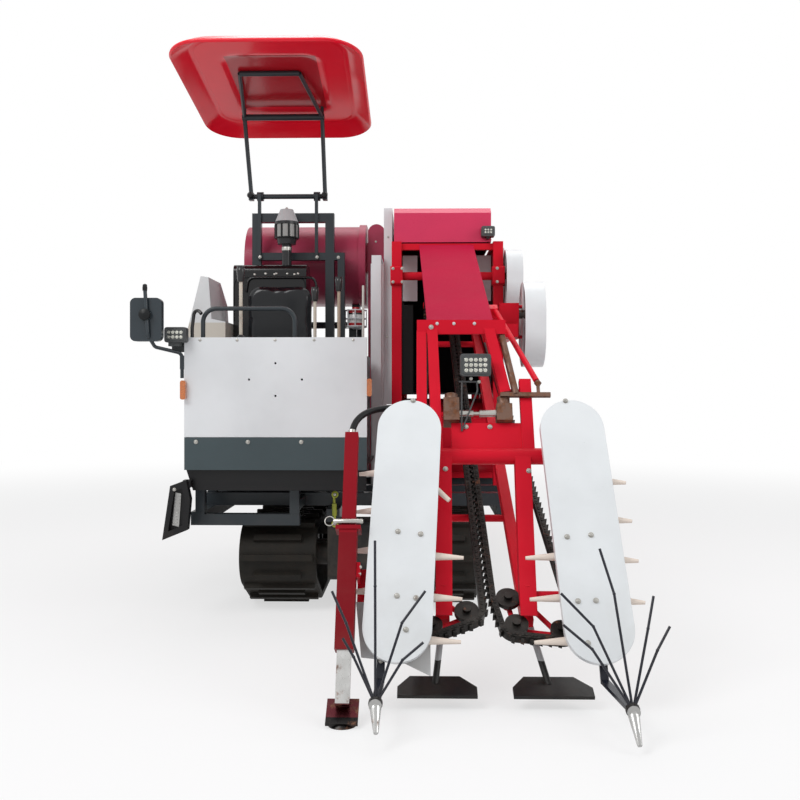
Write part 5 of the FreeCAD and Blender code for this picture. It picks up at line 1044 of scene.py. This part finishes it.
# ---------------------------------------------------------------- points of the row dividers
def divider_tip(root, tip):
    """A flattened silver point: rings along the line from root to tip, wider across than deep."""
    root, tip = np.array(root), np.array(tip)
    share = np.linspace(0.0, 1.0, 9)[:, None, None]
    angle = full_turn(20)[:, None]
    wide = 0.0175 * (1 - share) + 0.0075 * share
    deep = 0.0150 * (1 - share) + 0.0066 * share
    side = np.array(CROP, float)
    up = np.cross((tip - root) / np.linalg.norm(tip - root), side)
    rings = root + share * (tip - root) + wide * np.cos(angle) * side + deep * np.sin(angle) * up
    first, last = (np.repeat(point[None, None], 20, 1) for point in (root, tip))
    return grid(np.concatenate([first, rings, last]))


tips = [divider_tip((0.1204, -2.286, 0.112), (0.124, -2.344, 0.057)),
        divider_tip((0.8684, -2.288, 0.094), (0.873, -2.344, 0.027))]
COLLAR = [(0.0, 0.0205), (0.008, 0.0215), (0.016, 0.0205)]
collars = [turned(COLLAR, (x, -2.270, z), (0, -1, -0.6), 24) for x, z in ((0.120, 0.124), (0.868, 0.110))]
stalk_bolts = on_row(np.array([0.124, 0.124, 0.838, 0.838]), np.array([0.215, 0.262, 0.215, 0.262]), -0.0660)
piece("divider_tips", "header", [(STEEL, together(*tips)), (BLACK, together(*collars)),
                                 (ZINC, placed(M10, stalk_bolts, ROW_OUT))])


# ---------------------------------------------------------------- step tread and deck tensioner
STEP_Y = -0.895
tread = plate([(-0.0205, -0.070), (0.0105, -0.078), (0.0205, 0.072), (-0.0060, 0.078)], 0.006, 0.002)
cleat = plate(round_box(0.022, 0.004, 0.0015, 3), 0.0085, 0.001)
cleats = [(-0.8185 + 0.12 * (z - 0.503), STEP_Y, z) for z in np.linspace(0.446, 0.560, 9)]
piece("step_tread", "chassis", [
    (SILVER_PLATE, placed(tread, [(-0.818, STEP_Y, 0.503)], FRONT, UP)),
    (SILVER_PLATE, placed(cleat, cleats, FRONT, UP)),
    (ZINC, placed(M8, [(-0.822, STEP_Y, 0.598)], FRONT))])

TENSIONER_X, TENSIONER_Y, EYE_Z = -0.140, -0.700, (0.413, 0.548)
tensioner = turned([(0.0, 0.006), (0.030, 0.006), (0.031, 0.011), (0.085, 0.011), (0.086, 0.006),
                    (0.118, 0.006)], (TENSIONER_X, TENSIONER_Y, 0.420), (-0.05, 0.10, 1), 14)
eyes = [tube(ring_points((TENSIONER_X, TENSIONER_Y, z), 0.012, 20, "y"), 0.0045, 8, True) for z in EYE_Z]
piece("deck_tensioner", "chassis", [
    (YELLOW, together(tensioner, *eyes)),
    (ZINC, placed(M8, [(TENSIONER_X, TENSIONER_Y - 0.005, z) for z in EYE_Z], FRONT))])


# ---------------------------------------------------------------- side and rear trim
panel_spots = around((0.045, 1.035), (1.79, 1.665), 10, 4)
chute_spots = around((1.90, 1.12), (2.22, 1.70), 3, 4)
piece("panel_fasteners", "chassis", [
    (ZINC, on_side(M8, "picking_panels", panel_spots)),
    (ZINC, on_side(M8, "picking_panels", panel_spots, -1.0)),
    (ZINC, on_side(M8, "sieve_box", around((0.62, 0.60), (2.12, 0.865), 9, 3))),
    (ZINC, on_side(M8, "top_hood", [(y, 1.80) for y in np.linspace(-0.14, 1.70, 9)])),
    (ZINC, on_side(M8, "vine_chute", chute_spots)),
    (ZINC, on_side(M8, "vine_chute", chute_spots, -1.0)),
    (ZINC, on_side(M8, "fan_housing", ring_points((0, 0.230, 0.770), 0.172, 8, "x")[:, 1:]))])

swage = plate(round_box(0.040, 0.500, 0.019, 8), 0.007, 0.0045)
piece("panel_swages", "chassis",
      [(WHITE, on_side(swage, "picking_panels", [(y, 1.35) for y in np.linspace(0.30, 1.55, 5)]))])
handle = tube(rounded_way([(-0.060, 0.0, 0.0), (-0.060, 0.0, 0.032), (0.060, 0.0, 0.032), (0.060, 0.0, 0.0)],
                          0.014), 0.0048, 10)
piece("panel_handles", "chassis", [
    (PLASTIC, on_side(handle, "picking_panels", [(0.42, 1.60), (1.43, 1.60)]))])

GRILLE_Y = 0.175
slat = placed(plate(round_box(0.270, 0.012, 0.005, 4), 0.009, 0.003), [ORIGIN], UP, BACK)
grille_frame = tube(np.pad(round_box(0.470, 0.312, 0.030, 6), ((0, 0), (0, 1))), 0.0055, 8, True)
piece("radiator_grille", "chassis", [
    (DARK, on_side(slat, "radiator_cover", [(GRILLE_Y, z) for z in np.arange(0.78, 1.22, 0.028)], -1.0)),
    (BEIGE, on_side(grille_frame, "radiator_cover", [(GRILLE_Y, 0.986)], -1.0)),
    (ZINC, on_side(SCREW, "radiator_cover", around((-0.02, 0.66), (0.37, 1.27), 3, 4), -1.0))])

stand_spots = [(y, z) for y in (0.475, 1.065) for z in (0.53, 1.02, 1.47)]
elevator_starts = [(-0.012, 0.0, z) for z in np.linspace(0.62, 1.90, 6)]
piece("hopper_fasteners", "chassis", [
    (ZINC, on_side(M8, "hopper_stand", stand_spots, -1.0)),
    (ZINC, struck(M8, "pod_elevator", elevator_starts, BACK))])
rivet_spots = ring_points((0, 0.700, 1.755), 0.205, 12, "x")[:, 1:]
piece("hopper_rivets", "hopper", [(RED_DEEP, on_side(dome_screw(0.009), "hopper", rivet_spots, -1.0))])
piece("guard_fasteners", "chassis", [
    (ZINC, on_side(M10, "belt_guards", [(-0.58, 1.318), (-0.18, 1.640)]))])


# ---------------------------------------------------------------- jack hose
HOSE_RADIUS = 0.0118
start, bend, end = (np.array(place) for place in ((0.0095, -1.6880, 0.868), (0.0060, -1.6150, 0.985),
                                                  (0.2150, -1.5400, 0.962)))
leaving = (bend - start) / np.linalg.norm(bend - start)
ferrule = turned([(-0.044, 0.0085), (-0.012, 0.0085), (-0.011, 0.0140), (0.022, 0.0140),
                  (0.024, HOSE_RADIUS)], start, leaving, 20)
nut = placed(plate(polygon(6, 0.0165), 0.016, 0.0015), [start - 0.026 * leaving], leaving)
piece("jack_hose", "header", [
    (HOSE, tube(blended(start, bend, end, 40), HOSE_RADIUS, 18)), (ZINC, ferrule), (ZINC, nut)],
      replaces=("header_hoses",))


# ---------------------------------------------------------------- light, floor and camera
FLOOR_REACH = 70.0
LAMPS = (("key", (-3.2, -4.6, 5.2), (-0.1, 0.0, 0.9), 3.0, 190.0),     # name, place, aim, width, power
         ("fill", (4.4, -3.4, 3.4), (0.1, 0.0, 0.9), 3.0, 70.0),
         ("top", (0.2, 1.4, 6.0), (0.0, 0.2, 1.0), 4.0, 105.0))


def seen_directly(tree):
    """1 for rays from the camera, from a gloss or through a clear part, and 0 for the rest."""
    path = add_node(tree, "LightPath").outputs
    return math_node(tree, "MAXIMUM", path["Is Camera Ray"],
                     math_node(tree, "MAXIMUM", path["Is Glossy Ray"], path["Is Transmission Ray"]))


def studio():
    """A pale floor that keeps the shadow, a white surround and three soft lamps."""
    scene = bpy.context.scene
    scene.view_settings.view_transform = "Standard"
    scene.world = bpy.data.worlds.new("surround")
    tree = emptied(scene.world)
    strength = ramp(tree, seen_directly(tree), 0, 1, 0.50, 1.0)
    glow = add_node(tree, "Background", {"Color": colour(1.0, 1.0, 1.0), "Strength": strength})
    add_node(tree, "OutputWorld", {"Surface": glow.outputs[0]})

    mesh = bpy.data.meshes.new("floor")
    mesh.from_pydata([(FLOOR_REACH * x, FLOOR_REACH * y, 0) for x, y in ((-1, -1), (1, -1), (1, 1), (-1, 1))],
                     [], [(0, 1, 2, 3)])
    floor = bpy.data.objects.new("floor", mesh)
    scene.collection.objects.link(floor)
    material = bpy.data.materials.new("studio_floor")
    tree = emptied(material)
    matt = add_node(tree, "BsdfDiffuse", {"Color": colour(0.86, 0.86, 0.87)})
    lit = add_node(tree, "Emission", {"Color": colour(1.0, 1.0, 1.0), "Strength": 1.0})
    spot = add_node(tree, "TexCoord").outputs["Object"]
    away = add_node(tree, "VectorMath", {0: spot}, operation="LENGTH").outputs["Value"]
    # the floor turns from shadow-keeping to plain white between 3 and 9 m out
    share = times(tree, seen_directly(tree), ramp(tree, away, 3.0, 9.0, 0.62, 1.0))
    both = add_node(tree, "MixShader", {0: share, 1: matt.outputs[0], 2: lit.outputs[0]})
    add_node(tree, "OutputMaterial", {"Surface": both.outputs[0]})
    mesh.materials.append(material)

    for name, place, aim, width, power in LAMPS:
        lamp = bpy.data.lights.new(name, "AREA")
        lamp.size = width
        lamp.energy = power
        holder = bpy.data.objects.new(name, lamp)
        holder.location = place
        holder.rotation_euler = (Vector(aim) - Vector(place)).to_track_quat("-Z", "Y").to_euler()
        scene.collection.objects.link(holder)


def camera():
    """A level camera at standing height, 5 m in front of the machine and turned 1.2 degrees."""
    data = bpy.data.cameras.new("camera")
    data.lens = 42.75
    data.sensor_width = 36.0
    data.shift_y = -0.01875
    holder = bpy.data.objects.new("camera", data)
    holder.location = (0.25, -5.05, 1.05)
    holder.rotation_euler = (math.radians(90.0), 0.0, math.radians(1.206))
    bpy.context.scene.collection.objects.link(holder)
    bpy.context.scene.camera = holder


studio()
camera()
